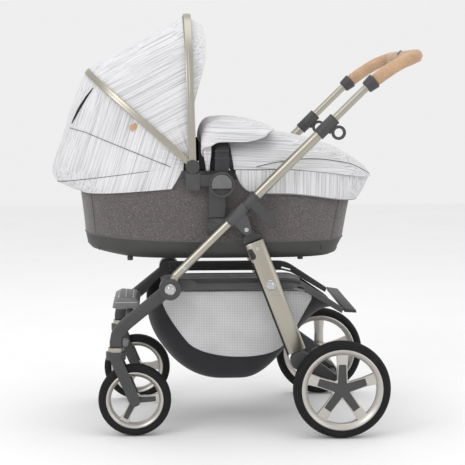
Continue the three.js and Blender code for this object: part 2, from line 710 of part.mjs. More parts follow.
function legBracket() {
  const side = { x: -legDown.z, z: legDown.x };
  const edge = (across, up) => [legTop.x + side.x * across - legDown.x * up,
    legTop.z + side.z * across - legDown.z * up];
  const wide = legWidth / 2;
  const cap = slab(polygon([edge(-wide, gap), edge(wide, gap), edge(wide - 2, 12), edge(8, 24),
    edge(-wide + 8, 24), edge(-wide, 10)]), bracketIn, tongueOut, 1.5);
  const neckRoot = { x: legTop.x - legDown.x * 16, z: legTop.z - legDown.z * 16 };
  return join(cap, slab(belt(pinPoint, 13, neckRoot, 13), bracketIn, tongueOut, 1.5));
}

function axleHousing() {
  const drop = legWidth / 2 + gap;
  const shoulder = { x: legFoot.x + legDown.x * drop, z: legFoot.z + legDown.z * drop };
  const axlePoint = { x: rearAxleX, z: rearWheel.radius };
  const casting = slab(belt(shoulder, legWidth / 2, axlePoint, 19), legIn, legOut, 3);
  const stub = rodY(rearWheel.boreRadius - gap, legOut - 5, rearWheelY + rearWheel.rimWidth / 2 - 12,
    axlePoint.x, axlePoint.z, 20);
  return join(casting, stub);
}

addPair(stroller, 'rear_leg', rearLeg(), champagne);
addPair(stroller, 'leg_bracket', legBracket(), greyPlastic);
addPair(stroller, 'axle_housing', axleHousing(), greyPlastic);
const axleRadius = 11;
add(stroller, 'rear_axle', rodY(axleRadius, -legIn + gap, legIn - gap, rearAxleX, rearWheel.radius),
  darkPlastic);

function brakePedal() {
  const centre = { x: rearAxleX, z: rearWheel.radius };
  const treadle = { x: rearAxleX - 46, z: rearWheel.radius + 38 };
  const boss = rodY(axleRadius + 6, -34, 34, centre.x, centre.z, 20);
  const lever = slab(belt(centre, 14, treadle, 9), -26, 26, 2);
  const barFront = { x: treadle.x - 12, z: treadle.z - 5 };
  const barBack = { x: treadle.x + 14, z: treadle.z + 8 };
  const bar = slab(belt(barFront, 8, barBack, 8), -62, 62, 3);
  return cut(join(boss, lever, bar), rodY(axleRadius + 0.4, -80, 80, centre.x, centre.z, 20));
}

add(stroller, 'brake_pedal', brakePedal(), darkPlastic);

// ---------------------------------------------------------------- carrycot

const cotMiddle = (cotHead + cotFoot) / 2;
const trayEdge = (x) => trayLine + trayRise * Math.max(0, (cotMiddle - x) / (cotFoot - cotMiddle)) ** 2;

function cotTray() {
  const outside = [
    planRing(-301, 271, half - 45, cotBottom), planRing(-349, 300, half - 22, cotBottom + 9),
    planRing(cotHead + 35, cotFoot - 46, half - 9, cotBottom + 24),
    planRing(cotHead + 18, cotFoot - 33, half - 4, trayEdge),
  ];
  const inside = [
    planRing(cotHead + 18 + trayWall, cotFoot - 33 - trayWall, half - 4 - trayWall, trayEdge),
    planRing(cotHead + 50, cotFoot - 60, half - 20, cotBottom + 20),
    planRing(-296, 266, half - 50, cotBottom + trayWall + 1),
  ];
  const foot = (x) => new THREE.CylinderGeometry(8, 8, 12, 16).rotateX(Math.PI / 2)
    .translate(x, 0, cotBottom - 2);
  const feet = [-290, 190].flatMap((x) => [-120, 120].map((y) => foot(x).translate(0, y, 0)));
  return join(loft([...outside, ...inside]), ...feet);
}

function cotShell() {
  const ring = (v, inset) => planRing(lerp(cotHead + 18, cotHead, v) + inset,
    lerp(cotFoot - 33, cotFoot, v) - inset, lerp(half - 4, half, v) - inset,
    (x) => lerp(trayEdge(x) + gap, cotRim, v));
  const outside = [0, 0.5, 1].map((v) => ring(v, 0));
  const inside = [1, 0.5, 0].map((v) => ring(v, cotWall));
  return shell([...outside], inside.reverse(), true);
}

function mattress() {
  const fit = { head: cotHead + 66, foot: cotFoot - 76, half: half - 36 };
  const floor = cotBottom + 22;
  return loft([planRing(fit.head + 8, fit.foot - 8, fit.half - 8, floor),
    planRing(fit.head, fit.foot, fit.half, floor + 8), planRing(fit.head, fit.foot, fit.half, floor + 24),
    planRing(fit.head + 8, fit.foot - 8, fit.half - 8, floor + 32)]);
}

const apronHead = -12;
const apronFoot = cotFoot + 46;
const apronSkirt = (x) => 669 - 26 * smooth(x, 170, 340);
const apronSide = (x) => 758 - 44 * ((x - 180) / 200) ** 2 * (x > 180 ? 1 : 0.6);
const apronCrown = (x) => 706 + 131 * Math.max(0, 1 - ((x - 40) / (apronFoot - 40)) ** 2) ** 0.7;

/** A row of points over the cot from one skirt's hem to the other. */
function coverRow(x, halfWidth, hem, side, crown, arc = 12) {
  const row = [new THREE.Vector3(x, -halfWidth, hem)];
  for (let i = 0; i <= arc; i += 1) {
    const angle = Math.PI * (1 - i / arc);
    row.push(new THREE.Vector3(x, halfWidth * signedPower(Math.cos(angle), 0.75),
      side + (crown - side) * Math.sin(angle)));
  }
  row.push(new THREE.Vector3(x, halfWidth, hem));
  return row;
}

function apron() {
  const wide = half + 3.6;
  const thick = 3;
  const middle = (cotHead + apronFoot) / 2;
  const rows = (inset) => Array.from({ length: 13 }, (_, i) => {
    const x = apronHead + (apronFoot - inset - apronHead) * Math.sin(i / 12 * Math.PI / 2);
    const toEnd = Math.min(1, Math.max(0, (x - middle) / (apronFoot - inset - middle)));
    const width = (wide - inset) * (1 - toEnd ** 4.2) ** (1 / 4.2);
    const lift = Math.max(4, apronCrown(x) - apronSide(x));
    return coverRow(x, Math.max(width, 6), apronSkirt(x), apronSide(x) - inset,
      apronSide(x) + lift - inset);
  });
  return shell(rows(0), rows(thick));
}

const archX = -35.5;
const archTop = 852;

/** The carrying handle: an arch across the cot from hub to hub. */
function carryHandle() {
  const foot = hub.z + hub.radius + gap + 1;
  const points = [];
  for (let i = 0; i <= 24; i += 1) {
    const angle = Math.PI * i / 24;
    points.push(new THREE.Vector3(archX, (bracketIn + 7) * signedPower(Math.cos(angle), 0.5),
      foot + (archTop - foot) * Math.abs(Math.sin(angle)) ** 0.62));
  }
  const line = new THREE.CatmullRomCurve3(points, false, 'centripetal');
  return sweep(roundedRectangle(40, 13, 5), line, 24, 1);
}

/** The apron's folded-back top, lying over the carrying handle. */
function apronFlap() {
  const wide = half + 26;
  const top = (x) => 874 - 4 * smooth(x, 0, 100) - 60 * smooth(-x, 60, 92);
  const rows = (inset) => Array.from({ length: 9 }, (_, i) => {
    const x = lerp(-90, 106, i / 8);
    const hem = 808 + 14 * smooth(x, -40, 80) - 26 * smooth(-x, 50, 90);
    const shoulder = Math.max(hem + 12, top(x) - 40);
    return coverRow(x, wide - inset - 18 * smooth(x, 0, 100), hem, shoulder - inset, top(x) - inset);
  });
  return shell(rows(0), rows(5));
}

function cotSideBracket() {
  const out = bracketIn + 18;
  const post = slab(rectangle(-72, -25, receiver.z1 + gap, hub.z), bracketIn, out, 2);
  const tongue = slab(rectangle(receiver.x0 + 9, receiver.x1 - 9, receiver.z1 - 22, receiver.z1 + 10),
    bracketIn + 5, bracketIn + 12);
  const boss = rodY(hub.radius, bracketIn, bracketIn + 35, hub.x, hub.z, 28);
  const pocket = rodY(29, bracketIn + 27, bracketIn + 40, hub.x, hub.z, 24);
  const stub = slab(rectangle(-104, -60, 690, 722), bracketIn + 2, out + 2, 2);
  const hoodBlock = slab(rectangle(-134, -94, 678, 728), bracketIn, out + 4, 3);
  const cheek = slab(belt({ x: hoodPivot.x, z: 725 }, 17, hoodPivot, 19), bracketIn, bracketIn + 5);
  const pin = rodY(5, bracketIn, bracketIn + 20, hoodPivot.x, hoodPivot.z, 16);
  return join(cut(join(post, boss, stub, hoodBlock), pocket), tongue, cheek, pin);
}

/** The half-moon button in the hub. */
function cotButton() {
  const shape = new THREE.Shape();
  shape.absarc(hub.x, hub.z, 28, rad(-22), rad(202), false);
  return slab(shape, bracketIn + 27 + 7, bracketIn + 39, 1.5, 12);
}

const carrycot = new THREE.Group();
stroller.add(carrycot);
add(carrycot, 'cot_tray', cotTray(), trayPlastic);
add(carrycot, 'cot_shell', cotShell(), melangeFabric);
add(carrycot, 'mattress', mattress(), mattressFabric);
add(carrycot, 'apron', apron(), whiteFabric);
add(carrycot, 'apron_flap', apronFlap(), whiteFabric);
add(carrycot, 'carry_handle', carryHandle(), darkPlastic);
addPair(carrycot, 'cot_side_bracket', cotSideBracket(), greyPlastic);
addPair(carrycot, 'cot_button', cotButton(), silverPlastic);

// ---------------------------------------------------------------- hood

/** A point of a hoop over the cot: turn 0..1 runs from the right foot over the top to the left. */
function hoopPoint(angle, reach, halfWidth, turn) {
  const around = Math.PI * turn;
  const out = reach * Math.abs(Math.sin(around)) ** (2 / bowExponent);
  return new THREE.Vector3(hoodPivot.x + out * Math.cos(rad(angle)),
    halfWidth * signedPower(Math.cos(around), 2 / bowExponent),
    hoodPivot.z + out * Math.sin(rad(angle)));
}

/** A flat-section hoop with a pierced foot at each end. */
function bow(size, plane) {
  const rows = [1, -1].map((face) => Array.from({ length: 21 }, (_, i) => {
    const turn = 0.5 - 0.5 * Math.cos(Math.PI * i / 20);
    const across = rad(size.angle + 90);
    const middle = hoopPoint(size.angle, size.reach + face * size.thickness / 2,
      plane + face * size.thickness / 2, turn);
    return [-1, 1].map((edge) => middle.clone().add(new THREE.Vector3(
      edge * size.width / 2 * Math.cos(across), 0, edge * size.width / 2 * Math.sin(across))));
  }));
  const hoop = shell(rows[0], rows[1]);
  const feet = [-1, 1].map((side) => rodY(size.width / 2 + 3, side * plane - size.thickness / 2,
    side * plane + size.thickness / 2, hoodPivot.x, hoodPivot.z, 24));
  const holes = rodY(5.5, -2 * plane, 2 * plane, hoodPivot.x, hoodPivot.z, 16);
  return cut(join(hoop, ...feet), holes);
}

const rearBowPlane = bracketIn + 5 + sideClearance + rearBow.thickness / 2;
const frontBowPlane = rearBowPlane + rearBow.thickness / 2 + sideClearance + frontBow.thickness / 2;
add(carrycot, 'hood_bow_rear', bow(rearBow, rearBowPlane), champagne);
add(carrycot, 'hood_bow_front', bow(frontBow, frontBowPlane), champagne);

/** The hood's cover: a tight sheet over both hoops, down to the cot's head end. */
function hoodCover() {
  const stations = [
    { angle: 93, reach: frontBow.reach - 7 }, { angle: 100, reach: 385 }, { angle: 110, reach: 371 },
    { angle: 121, reach: 370 }, { angle: 131, reach: 378 },
    { angle: rearBow.angle, reach: rearBow.reach - 6 },
    { angle: 148, reach: 379 }, { angle: 158, reach: 369 }, { angle: 168, reach: 369 },
    { angle: 178, reach: 387 }, { angle: 186, reach: 400.5 }, { angle: 190, reach: 372 },
  ];
  const row = (inset) => Array.from({ length: 15 }, (_, i) => {
    const turn = lerp(0.07, 0.93, i / 14);
    return stations.map(({ angle, reach }) =>
      hoopPoint(angle, reach - inset, rearBowPlane - rearBow.thickness / 2 - 1 - inset, turn));
  });
  return shell(row(0), row(hoodFabric));
}

add(carrycot, 'hood_fabric', hoodCover(), whiteFabric);

export default stroller;
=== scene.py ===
"""Looks of a folding baby stroller with a carrycot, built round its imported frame.

The builders work in millimetres in the stroller's own frame: +Z up, -X the way it travels,
+Y its right-hand side. `settle` turns each finished mesh into metres.
"""

import json
import logging
import math
from collections.abc import Callable, Sequence
from dataclasses import dataclass, field
from enum import Enum

import bmesh
import bpy
from mathutils import Matrix, Vector, noise

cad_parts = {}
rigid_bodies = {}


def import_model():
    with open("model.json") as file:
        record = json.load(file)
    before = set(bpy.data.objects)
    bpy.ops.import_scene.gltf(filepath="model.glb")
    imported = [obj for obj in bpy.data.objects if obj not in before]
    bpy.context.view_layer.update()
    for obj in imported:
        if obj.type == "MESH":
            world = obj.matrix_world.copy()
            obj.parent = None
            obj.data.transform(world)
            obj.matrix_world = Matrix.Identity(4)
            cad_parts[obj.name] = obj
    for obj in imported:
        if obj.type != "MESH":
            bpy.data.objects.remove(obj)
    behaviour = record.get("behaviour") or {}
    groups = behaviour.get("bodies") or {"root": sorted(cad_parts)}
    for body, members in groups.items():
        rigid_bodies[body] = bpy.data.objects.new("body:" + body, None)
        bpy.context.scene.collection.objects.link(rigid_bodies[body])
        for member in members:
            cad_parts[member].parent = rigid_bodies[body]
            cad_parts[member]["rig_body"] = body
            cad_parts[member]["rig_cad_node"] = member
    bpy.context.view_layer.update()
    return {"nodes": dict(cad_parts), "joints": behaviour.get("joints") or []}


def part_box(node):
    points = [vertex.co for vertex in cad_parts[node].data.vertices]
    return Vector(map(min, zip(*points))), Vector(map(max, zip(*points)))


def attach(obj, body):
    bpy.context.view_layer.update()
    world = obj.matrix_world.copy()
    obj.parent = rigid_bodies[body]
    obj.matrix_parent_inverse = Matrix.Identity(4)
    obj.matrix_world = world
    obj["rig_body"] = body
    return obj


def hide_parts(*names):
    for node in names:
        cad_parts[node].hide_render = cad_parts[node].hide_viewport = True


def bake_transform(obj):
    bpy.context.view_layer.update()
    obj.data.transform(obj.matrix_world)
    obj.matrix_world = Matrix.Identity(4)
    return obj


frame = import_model()

LOG = logging.getLogger("stroller")
MILLI = 0.001
CLOTH_PLACE = "cloth_place"
CRISP_ANGLE = math.radians(28)
SIDES = {"right": 1, "left": -1}
Shape = bmesh.types.BMesh
Thing = bpy.types.Object
Stuff = bpy.types.Material
Socket = bpy.types.NodeSocket
Rows = tuple[tuple[float, float], ...]
Ring = Sequence[tuple[float, float]]
Colour = tuple[float, float, float]
UP = Vector((0, 0, 1))
FORE = Vector((1, 0, 0))
ACROSS = Vector((0, 1, 0))


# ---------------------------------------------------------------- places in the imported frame


class Datum:
    """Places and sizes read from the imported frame, in millimetres."""

    def __init__(self) -> None:
        """Indexes the joints by name."""
        self.joints = {joint["name"]: joint for joint in frame["joints"]}

    def low(self, node: str) -> Vector:
        """The lowest corner of a node's box."""
        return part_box(node)[0] / MILLI

    def high(self, node: str) -> Vector:
        """The highest corner of a node's box."""
        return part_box(node)[1] / MILLI

    def box(self, node: str) -> tuple[Vector, Vector]:
        """The lowest and the highest corner of a node's box."""
        return self.low(node), self.high(node)

    def middle(self, node: str) -> Vector:
        """The middle of a node's box."""
        return (self.low(node) + self.high(node)) / 2

    def pivot(self, joint: str) -> Vector:
        """The point that a joint turns about."""
        return Vector(self.joints[joint]["pos_m"]) / MILLI

    def axis(self, joint: str) -> Vector:
        """A joint's unit direction."""
        return Vector(self.joints[joint]["axis"]).normalized()


DATUM = Datum()


# ---------------------------------------------------------------- shaping


def lerp(a: float, b: float, t: float) -> float:
    """The value a share t of the way from a to b."""
    return a + (b - a) * t


def ease(value: float, start: float, end: float) -> float:
    """A smooth step from 0 at start to 1 at end."""
    t = min(1.0, max(0.0, (value - start) / (end - start)))
    return t * t * (3 - 2 * t)


def power(value: float, exponent: float) -> float:
    """A power that keeps the sign of its value."""
    return math.copysign(abs(value) ** exponent, value)


def table(rows: Ring, at: float) -> float:
    """Reads a smooth curve through rows of (position, value).

    Args:
        rows: The points, in rising position.
        at: The position to read.

    Returns:
        The value there, held flat past both ends.
    """
    if at <= rows[0][0]:
        return rows[0][1]
    if at >= rows[-1][0]:
        return rows[-1][1]
    k = next(i for i in range(len(rows) - 1) if at <= rows[i + 1][0])
    (x0, y0), (x1, y1) = rows[k], rows[k + 1]
    before = rows[max(0, k - 1)]
    after = rows[min(len(rows) - 1, k + 2)]
    span = x1 - x0
    m0 = (y1 - before[1]) / max(1e-6, x1 - before[0]) * span
    m1 = (after[1] - y0) / max(1e-6, after[0] - x0) * span
    t = (at - x0) / span
    return ((2 * t**3 - 3 * t**2 + 1) * y0 + (t**3 - 2 * t**2 + t) * m0
            + (3 * t**2 - 2 * t**3) * y1 + (t**3 - t**2) * m1)


def surface(place: Callable[[float, float], Sequence[float]], across: int, along: int,
            closed: bool = False, capped: bool = False) -> Shape:
    """Bends a grid into a surface.

    Args:
        place: Gives the point for u and v, both from 0 to 1.
        across: Faces in the u direction.
        along: Faces in the v direction.
        closed: True if edges of the grid meet and are merged.
        capped: True to fill the open ends.

    Returns:
        The surface, with a UV map of u and v.
    """
    shape = bmesh.new()
    shape.loops.layers.uv.new("cut")
    bmesh.ops.create_grid(shape, x_segments=across, y_segments=along, size=0.5, calc_uvs=True)
    for vert in shape.verts:
        vert.co = Vector(place(vert.co.x + 0.5, vert.co.y + 0.5))
    if closed:
        bmesh.ops.remove_doubles(shape, verts=shape.verts, dist=0.002)
    if capped:
        bmesh.ops.holes_fill(shape, edges=[e for e in shape.edges if e.is_boundary])
    return shape


def skin(rings: Sequence[Sequence[Vector]], capped: bool = True) -> Shape:
    """Lays a surface over closed rings of points that have one count.

    Args:
        rings: The rings, in order.
        capped: True to fill the first and last ring.

    Returns:
        The skin.
    """
    count = len(rings[0])
    along = len(rings) - 1

    def place(u: float, v: float) -> Vector:
        """The ring point nearest to u and v."""
        return rings[round(v * along)][round(u * count) % count]

    return surface(place, count, along, True, capped)


def circle(radius: float, count: int = 36) -> Ring:
    """A round section."""
    return [(radius * math.cos(2 * math.pi * i / count), radius * math.sin(2 * math.pi * i / count))
            for i in range(count)]


def squarish(angle: float, exponent: float) -> tuple[float, float]:
    """A point of an outline between a circle and a square, with a reach of 1."""
    return power(math.cos(angle), 2 / exponent), power(math.sin(angle), 2 / exponent)


def softened(width: float, height: float, exponent: float, count: int) -> Ring:
    """A section between a rectangle and an ellipse."""
    points = (squarish(2 * math.pi * i / count, exponent) for i in range(count))
    return [(width / 2 * a, height / 2 * b) for a, b in points]


def sweep(path: Sequence[Vector], section: Callable[[float], Ring],
          up: Vector, capped: bool = True) -> Shape:
    """Carries a section along a path.

    Args:
        path: The points of the path.
        section: Gives the section's (side, up) points at a share of the path's length.
        up: The direction that the section's second number follows.
        capped: True to close both ends.

    Returns:
        The swept body.
    """
    rings = []
    last = len(path) - 1
    for i, point in enumerate(path):
        ahead = (path[min(last, i + 1)] - path[max(0, i - 1)]).normalized()
        side = ahead.cross(up).normalized()
        over = side.cross(ahead).normalized()
        rings.append([point + side * a + over * b for a, b in section(i / last)])
    return skin(rings, capped)


def rod(start: Vector, end: Vector, radius: float, count: int) -> Shape:
    """A round bar with softened ends."""
    rounding = 0.8
    length = (end - start).length
    stations = [0.0, rounding / length, 1 - rounding / length, 1.0]
    path = [start.lerp(end, s) for s in stations]

    def section(share: float) -> Ring:
        """A slightly smaller circle at both ends."""
        return circle(radius - (rounding if share in (0.0, 1.0) else 0.0), count)

    return sweep(path, section, ACROSS)


def turned(profile: Ring, centre: Vector, axis: Vector = ACROSS,
           steps: int = 96) -> Shape:
    """Turns a profile about an axis.

    Args:
        profile: Points of (radius, distance along the axis).
        centre: The point at distance 0.
        axis: The axis.
        steps: How many faces round.

    Returns:
        The turned body.
    """
    shape = bmesh.new()
    out = axis.orthogonal().normalized()
    verts = [shape.verts.new(centre + out * r + axis * y) for r, y in profile]
    edges = [shape.edges.new(pair) for pair in zip(verts, verts[1:])]
    bmesh.ops.spin(shape, geom=verts + edges, cent=centre, axis=axis, dvec=(0, 0, 0),
                   angle=2 * math.pi, steps=steps, use_merge=True, use_duplicate=False)
    bmesh.ops.remove_doubles(shape, verts=shape.verts, dist=0.002)
    bmesh.ops.recalc_face_normals(shape, faces=shape.faces)
    return shape


def bevelled(shape: Shape, geom: list, offset: float, affect: str = "EDGES", segments: int = 2) -> None:
    """Rounds some of a shape's edges or corners."""
    bmesh.ops.bevel(shape, geom=geom, offset=offset, offset_type="OFFSET", affect=affect,
                    segments=segments, profile=0.5, material=-1, clamp_overlap=True)


def plate(outline: Ring, y0: float, y1: float, corner: float = 0.0,
          edge: float = 0.8) -> Shape:
    """A flat piece in the XZ plane with rounded corners and edges.

    Args:
        outline: The corners, as (x, z).
        y0: One face.
        y1: The other face.
        corner: The corners' radius.
        edge: The width of the rounding along both faces.

    Returns:
        The plate.
    """
    shape = bmesh.new()
    face = shape.faces.new([shape.verts.new((x, y0, z)) for x, z in outline])
    if corner > 0:
        bevelled(shape, list(shape.verts), corner, "VERTICES", 6)
        face = shape.faces[:][0]
    made = bmesh.ops.extrude_face_region(shape, geom=[face])
    moved = [e for e in made["geom"] if isinstance(e, bmesh.types.BMVert)]
    bmesh.ops.translate(shape, verts=moved, vec=(0, y1 - y0, 0))
    bmesh.ops.recalc_face_normals(shape, faces=shape.faces)
    if edge > 0:
        rims = [e for e in shape.edges if abs(e.verts[0].co.y - e.verts[1].co.y) < 1e-4]
        bevelled(shape, rims, edge)
    return shape


def joined(*shapes: Shape) -> Shape:
    """Puts several shapes into the first one."""
    whole = shapes[0]
    for shape in shapes[1:]:
        mesh = bpy.data.meshes.new("joining")
        shape.to_mesh(mesh)
        whole.from_mesh(mesh)
        shape.free()
        bpy.data.meshes.remove(mesh)
    return whole


def wrinkle(point: Vector, size: float, depth: float, seed: float = 0.0) -> float:
    """A smooth unevenness of cloth at a point, in millimetres."""
    return depth * noise.noise(Vector((point.x / size + seed, point.y / size, point.z / size - seed)))


def laid_flat(y: float, start: float = 125.0, end: float = 185.0) -> float:
    """The distance over the top of the cloth at y, which hardly grows down its sides."""
    far = abs(y)
    bend = min(1.0, max(0.0, (far - start) / (end - start)))
    over = min(far, start) + (end - start) * (bend - bend * bend / 2) + 0.02 * max(0.0, far - end)
    return math.copysign(over, y)


def settle(shape: Shape, name: str, stuff: "Finish | Stuff", body: str | None,
           sharp: float = 35.0, outward: bool = True, thick: float = 0.0,
           cloth: bool = False) -> Thing:
    """Turns a shape into a finished piece in metres.

    Args:
        shape: The shape, in millimetres. It is freed.
        name: The piece's name.
        stuff: Its finish or material.
        body: The body that it rides on, or None.
        sharp: Edges sharper than this many degrees stay crisp.
        outward: True to turn all faces outwards.
        thick: The cloth's thickness in millimetres, or 0 for a closed piece.
        cloth: True to keep each point's place at rest for the pattern.

    Returns:
        The piece.
    """
    if outward:
        bmesh.ops.recalc_face_normals(shape, faces=shape.faces)
    bmesh.ops.scale(shape, vec=(MILLI, MILLI, MILLI), verts=shape.verts)
    if thick > 0:
        bmesh.ops.solidify(shape, geom=shape.faces[:], thickness=thick * MILLI)
    mesh = bpy.data.meshes.new(name)
    shape.to_mesh(mesh)
    shape.free()
    mesh.shade_smooth()
    mesh.set_sharp_from_angle(angle=math.radians(sharp))
    mesh.materials.append(stuff.make() if isinstance(stuff, Finish) else stuff)
    if cloth:
        places = mesh.attributes.new(CLOTH_PLACE, "FLOAT_VECTOR", "POINT")
        places.data.foreach_set("vector", [c for v in mesh.vertices
                                           for c in (v.co.x, laid_flat(v.co.y / MILLI) * MILLI, v.co.z)])
    piece = bpy.data.objects.new(name, mesh)
    bpy.context.scene.collection.objects.link(piece)
    if body:
        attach(piece, body)
    LOG.info("%s: %d faces", name, len(mesh.polygons))
    return piece


def stand_in(piece: Thing, node: str, slot: str) -> None:
    """Hides the node whose place a piece takes."""
    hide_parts(node)


def piping(path: Sequence[Vector], radius: float, name: str, stuff: "Finish", body: str | None,
           count: int = 8, up: Vector = UP) -> Thing:
    """A round cloth edging laid along a path."""
    return settle(sweep(path, lambda s: circle(radius, count), up), name, stuff, body)


def cloth(shape: Shape, name: str, stuff: "Finish", body: str | None, thick: float,
          outward: bool = True) -> Thing:
    """A piece of cloth of a thickness in millimetres, patterned by its place at rest."""
    return settle(shape, name, stuff, body, 60, outward, thick, True)


def refined(node: str, stuff: "Finish", slot: str, edge: float) -> None:
    """Shows a copy of a node's own shape with rounded edges in its place.

    Args:
        node: The node.
        stuff: The copy's finish.
        slot: A material slot's name, which is not used.
        edge: The width of the rounding, in millimetres.
    """
    shape = bmesh.new()
    shape.from_mesh(frame["nodes"][node].data)
    bmesh.ops.scale(shape, vec=(1 / MILLI,) * 3, verts=shape.verts)
    bmesh.ops.remove_doubles(shape, verts=shape.verts, dist=0.01)
    bmesh.ops.dissolve_limit(shape, angle_limit=math.radians(1.5), verts=shape.verts,
                             edges=shape.edges)
    crisp = [e for e in shape.edges
             if len(e.link_faces) == 2 and e.calc_face_angle(0.0) > CRISP_ANGLE]
    bevelled(shape, crisp, edge)
    bmesh.ops.triangulate(shape, faces=[f for f in shape.faces if len(f.verts) > 4])
    piece = settle(shape, f"{node}_moulded", stuff, frame["nodes"][node]["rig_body"], 40, False)
    stand_in(piece, node, slot)


# ---------------------------------------------------------------- finishes


class Bench:
    """A material's node tree, with short ways to add and join nodes."""

    def __init__(self, name: str) -> None:
        """Starts a material with its shader."""
        self.material = bpy.data.materials.new(name)
        self.material.use_nodes = True
        self.tree = self.material.node_tree
        self.shader = self.tree.nodes["Principled BSDF"]

    def feed(self, node: bpy.types.Node, inputs: dict[str | int, object]) -> None:
        """Links or sets a node's inputs, given by name or number."""
        for key, value in inputs.items():
            if isinstance(value, Socket):
                self.tree.links.new(value, node.inputs[key])
            else:
                node.inputs[key].default_value = value

    def add(self, kind: str, out: str | int, inputs: dict[str | int, object] | None = None,
            **settings: object) -> Socket:
        """Adds a node.

        Args:
            kind: Its type, without the prefix that all of them share.
            out: The output that is used.
            inputs: Sockets to link or values to set, by the inputs' names or numbers.
            **settings: Its own properties.

        Returns:
            The output.
        """
        made = self.tree.nodes.new("ShaderNode" + kind)
        for key, value in settings.items():
            setattr(made, key, value)
        self.feed(made, inputs or {})
        return made.outputs[out]

    def place(self, follows_cloth: bool) -> Socket:
        """The point's place in the object, or the cloth's own place at rest."""
        if follows_cloth:
            return self.add("Attribute", "Vector", attribute_name=CLOTH_PLACE)
        return self.add("TexCoord", "Object")

    def stretched(self, source: Socket, turn: Sequence[float], scale: Sequence[float]) -> Socket:
        """Turns a place by degrees about X, Y and Z, and then scales it."""
        turned_place = self.add("Mapping", "Vector",
                                {"Vector": source, "Rotation": [math.radians(a) for a in turn]})
        return self.add("Mapping", "Vector", {"Vector": turned_place, "Scale": scale})

    def noise(self, source: Socket, scale: float, detail: float = 3.0, rough: float = 0.55) -> Socket:
        """Cloudy noise at a scale, in features to the metre."""
        return self.add("TexNoise", "Fac", {"Vector": source, "Scale": scale, "Detail": detail,
                                            "Roughness": rough})

    def cells(self, source: Socket, scale: float) -> Socket:
        """The distance to the edges of cells at a scale."""
        return self.add("TexVoronoi", "Distance", {"Vector": source, "Scale": scale},
                        feature="DISTANCE_TO_EDGE")

    def wave(self, source: Socket, direction: str, scale: float) -> Socket:
        """Even ribs across one axis, in ribs to the metre."""
        return self.add("TexWave", "Fac", {"Vector": source, "Scale": scale / 3.18, "Distortion": 0.4},
                        bands_direction=direction, wave_profile="SIN")

    def ramp(self, factor: Socket, stops: Sequence[tuple[float, Sequence[float]]]) -> Socket:
        """Colours by a factor."""
        made = self.tree.nodes.new("ShaderNodeValToRGB")
        ends = made.color_ramp.elements
        while len(ends) < len(stops):
            ends.new(0.5)
        for end, (position, colour) in zip(ends, stops):
            end.position = position
            end.color = (*colour, 1.0)
        self.feed(made, {"Fac": factor})
        return made.outputs["Color"]

    def tones(self, factor: Socket, colour: Sequence[float], *stops: tuple[float, float]) -> Socket:
        """One colour, lighter or darker by a factor: stops of (position, brightness)."""
        return self.ramp(factor, [(at, shaded(colour, by)) for at, by in stops])

    def mask(self, factor: Socket, low: float, high: float) -> Socket:
        """Black up to low, and white from high on."""
        return self.ramp(factor, [(low, (0, 0, 0)), (high, (1, 1, 1))])

    def painted_edge_highlight(self, low: float, high: float) -> Socket:
        """A mask of the edges that stand out most, where a painted highlight goes."""
        return self.mask(self.add("NewGeometry", "Pointiness"), low, high)

    def span(self, factor: Socket, low: float, high: float) -> Socket:
        """A factor from 0 to 1 turned into a value from low to high."""
        return self.add("MapRange", "Result", {"Value": factor, "To Min": low, "To Max": high})

    def math(self, operation: str, a: Socket, b: Socket | float) -> Socket:
        """Works out one sum."""
        return self.add("Math", "Value", {0: a, 1: b}, operation=operation)

    def tint(self, mode: str, amount: Socket | float, a: Socket, b: Socket | Sequence[float]) -> Socket:
        """Mixes two colours."""
        over = b if isinstance(b, Socket) else (*b, 1.0)
        return self.add("Mix", 2, {0: amount, 6: a, 7: over}, data_type="RGBA", blend_type=mode)

    def bump(self, height: Socket, depth: float, strength: float = 1.0,
             under: Socket | None = None) -> Socket:
        """A surface relief of a depth in millimetres, over another one."""
        inputs = {"Height": height, "Strength": strength, "Distance": depth * MILLI}
        if under is not None:
            inputs["Normal"] = under
        return self.add("Bump", "Normal", inputs)

    def done(self, colour: Socket, rough: Socket, normal: Socket, **fixed: float) -> Stuff:
        """Joins the three maps to the shader and sets its fixed values.

        Args:
            colour: The base colour.
            rough: The roughness.
            normal: The relief.
            **fixed: Values of the shader's own inputs, with _ for a space.

        Returns:
            The material.
        """
        self.feed(self.shader, {"Base Color": colour, "Roughness": rough, "Normal": normal})
        self.feed(self.shader, {key.replace("_", " "): value for key, value in fixed.items()})
        return self.material


def shaded(colour: Sequence[float], by: float) -> Colour:
    """A colour made lighter or darker by a factor."""
    return tuple(min(1.0, c * by) for c in colour)


@dataclass(frozen=True)
class Finish:
    """A finish, which makes its material once."""

    name: str

    def make(self) -> Stuff:
        """The finish's material, made at its first use."""
        found = bpy.data.materials.get(self.name)
        return found or self.build(Bench(self.name))

    def build(self, bench: Bench) -> Stuff:
        """Builds the material on a bench."""
        raise NotImplementedError


@dataclass(frozen=True)
class SatinMetal(Finish):
    """Anodised tube with a faint drawn grain and a painted highlight on its sharpest edges."""

    colour: Colour = (0.42, 0.395, 0.335)
    rough: float = 0.34
    grain: tuple[float, float, float] = (60, 60, 60)

    def build(self, bench: Bench) -> Stuff:
        """Builds the material."""
        place = bench.place(False)
        drawn = bench.noise(bench.stretched(place, (0, -44.6, 0), self.grain), 14, 4)
        cloudy = bench.noise(place, 9, 2)
        colour = bench.tones(drawn, self.colour, (0.25, 0.93), (0.75, 1.07))
        # Painted highlight: the sharpest edges are mixed towards a colour 1.25 times lighter.
        colour = bench.tint("MIX", bench.painted_edge_highlight(0.58, 0.72), colour, shaded(self.colour, 1.25))
        rough = bench.math("ADD", bench.span(drawn, self.rough - 0.05, self.rough + 0.05),
                           bench.span(cloudy, -0.04, 0.04))
        return bench.done(colour, rough, bench.bump(drawn, 0.02, 0.5), Metallic=1.0)


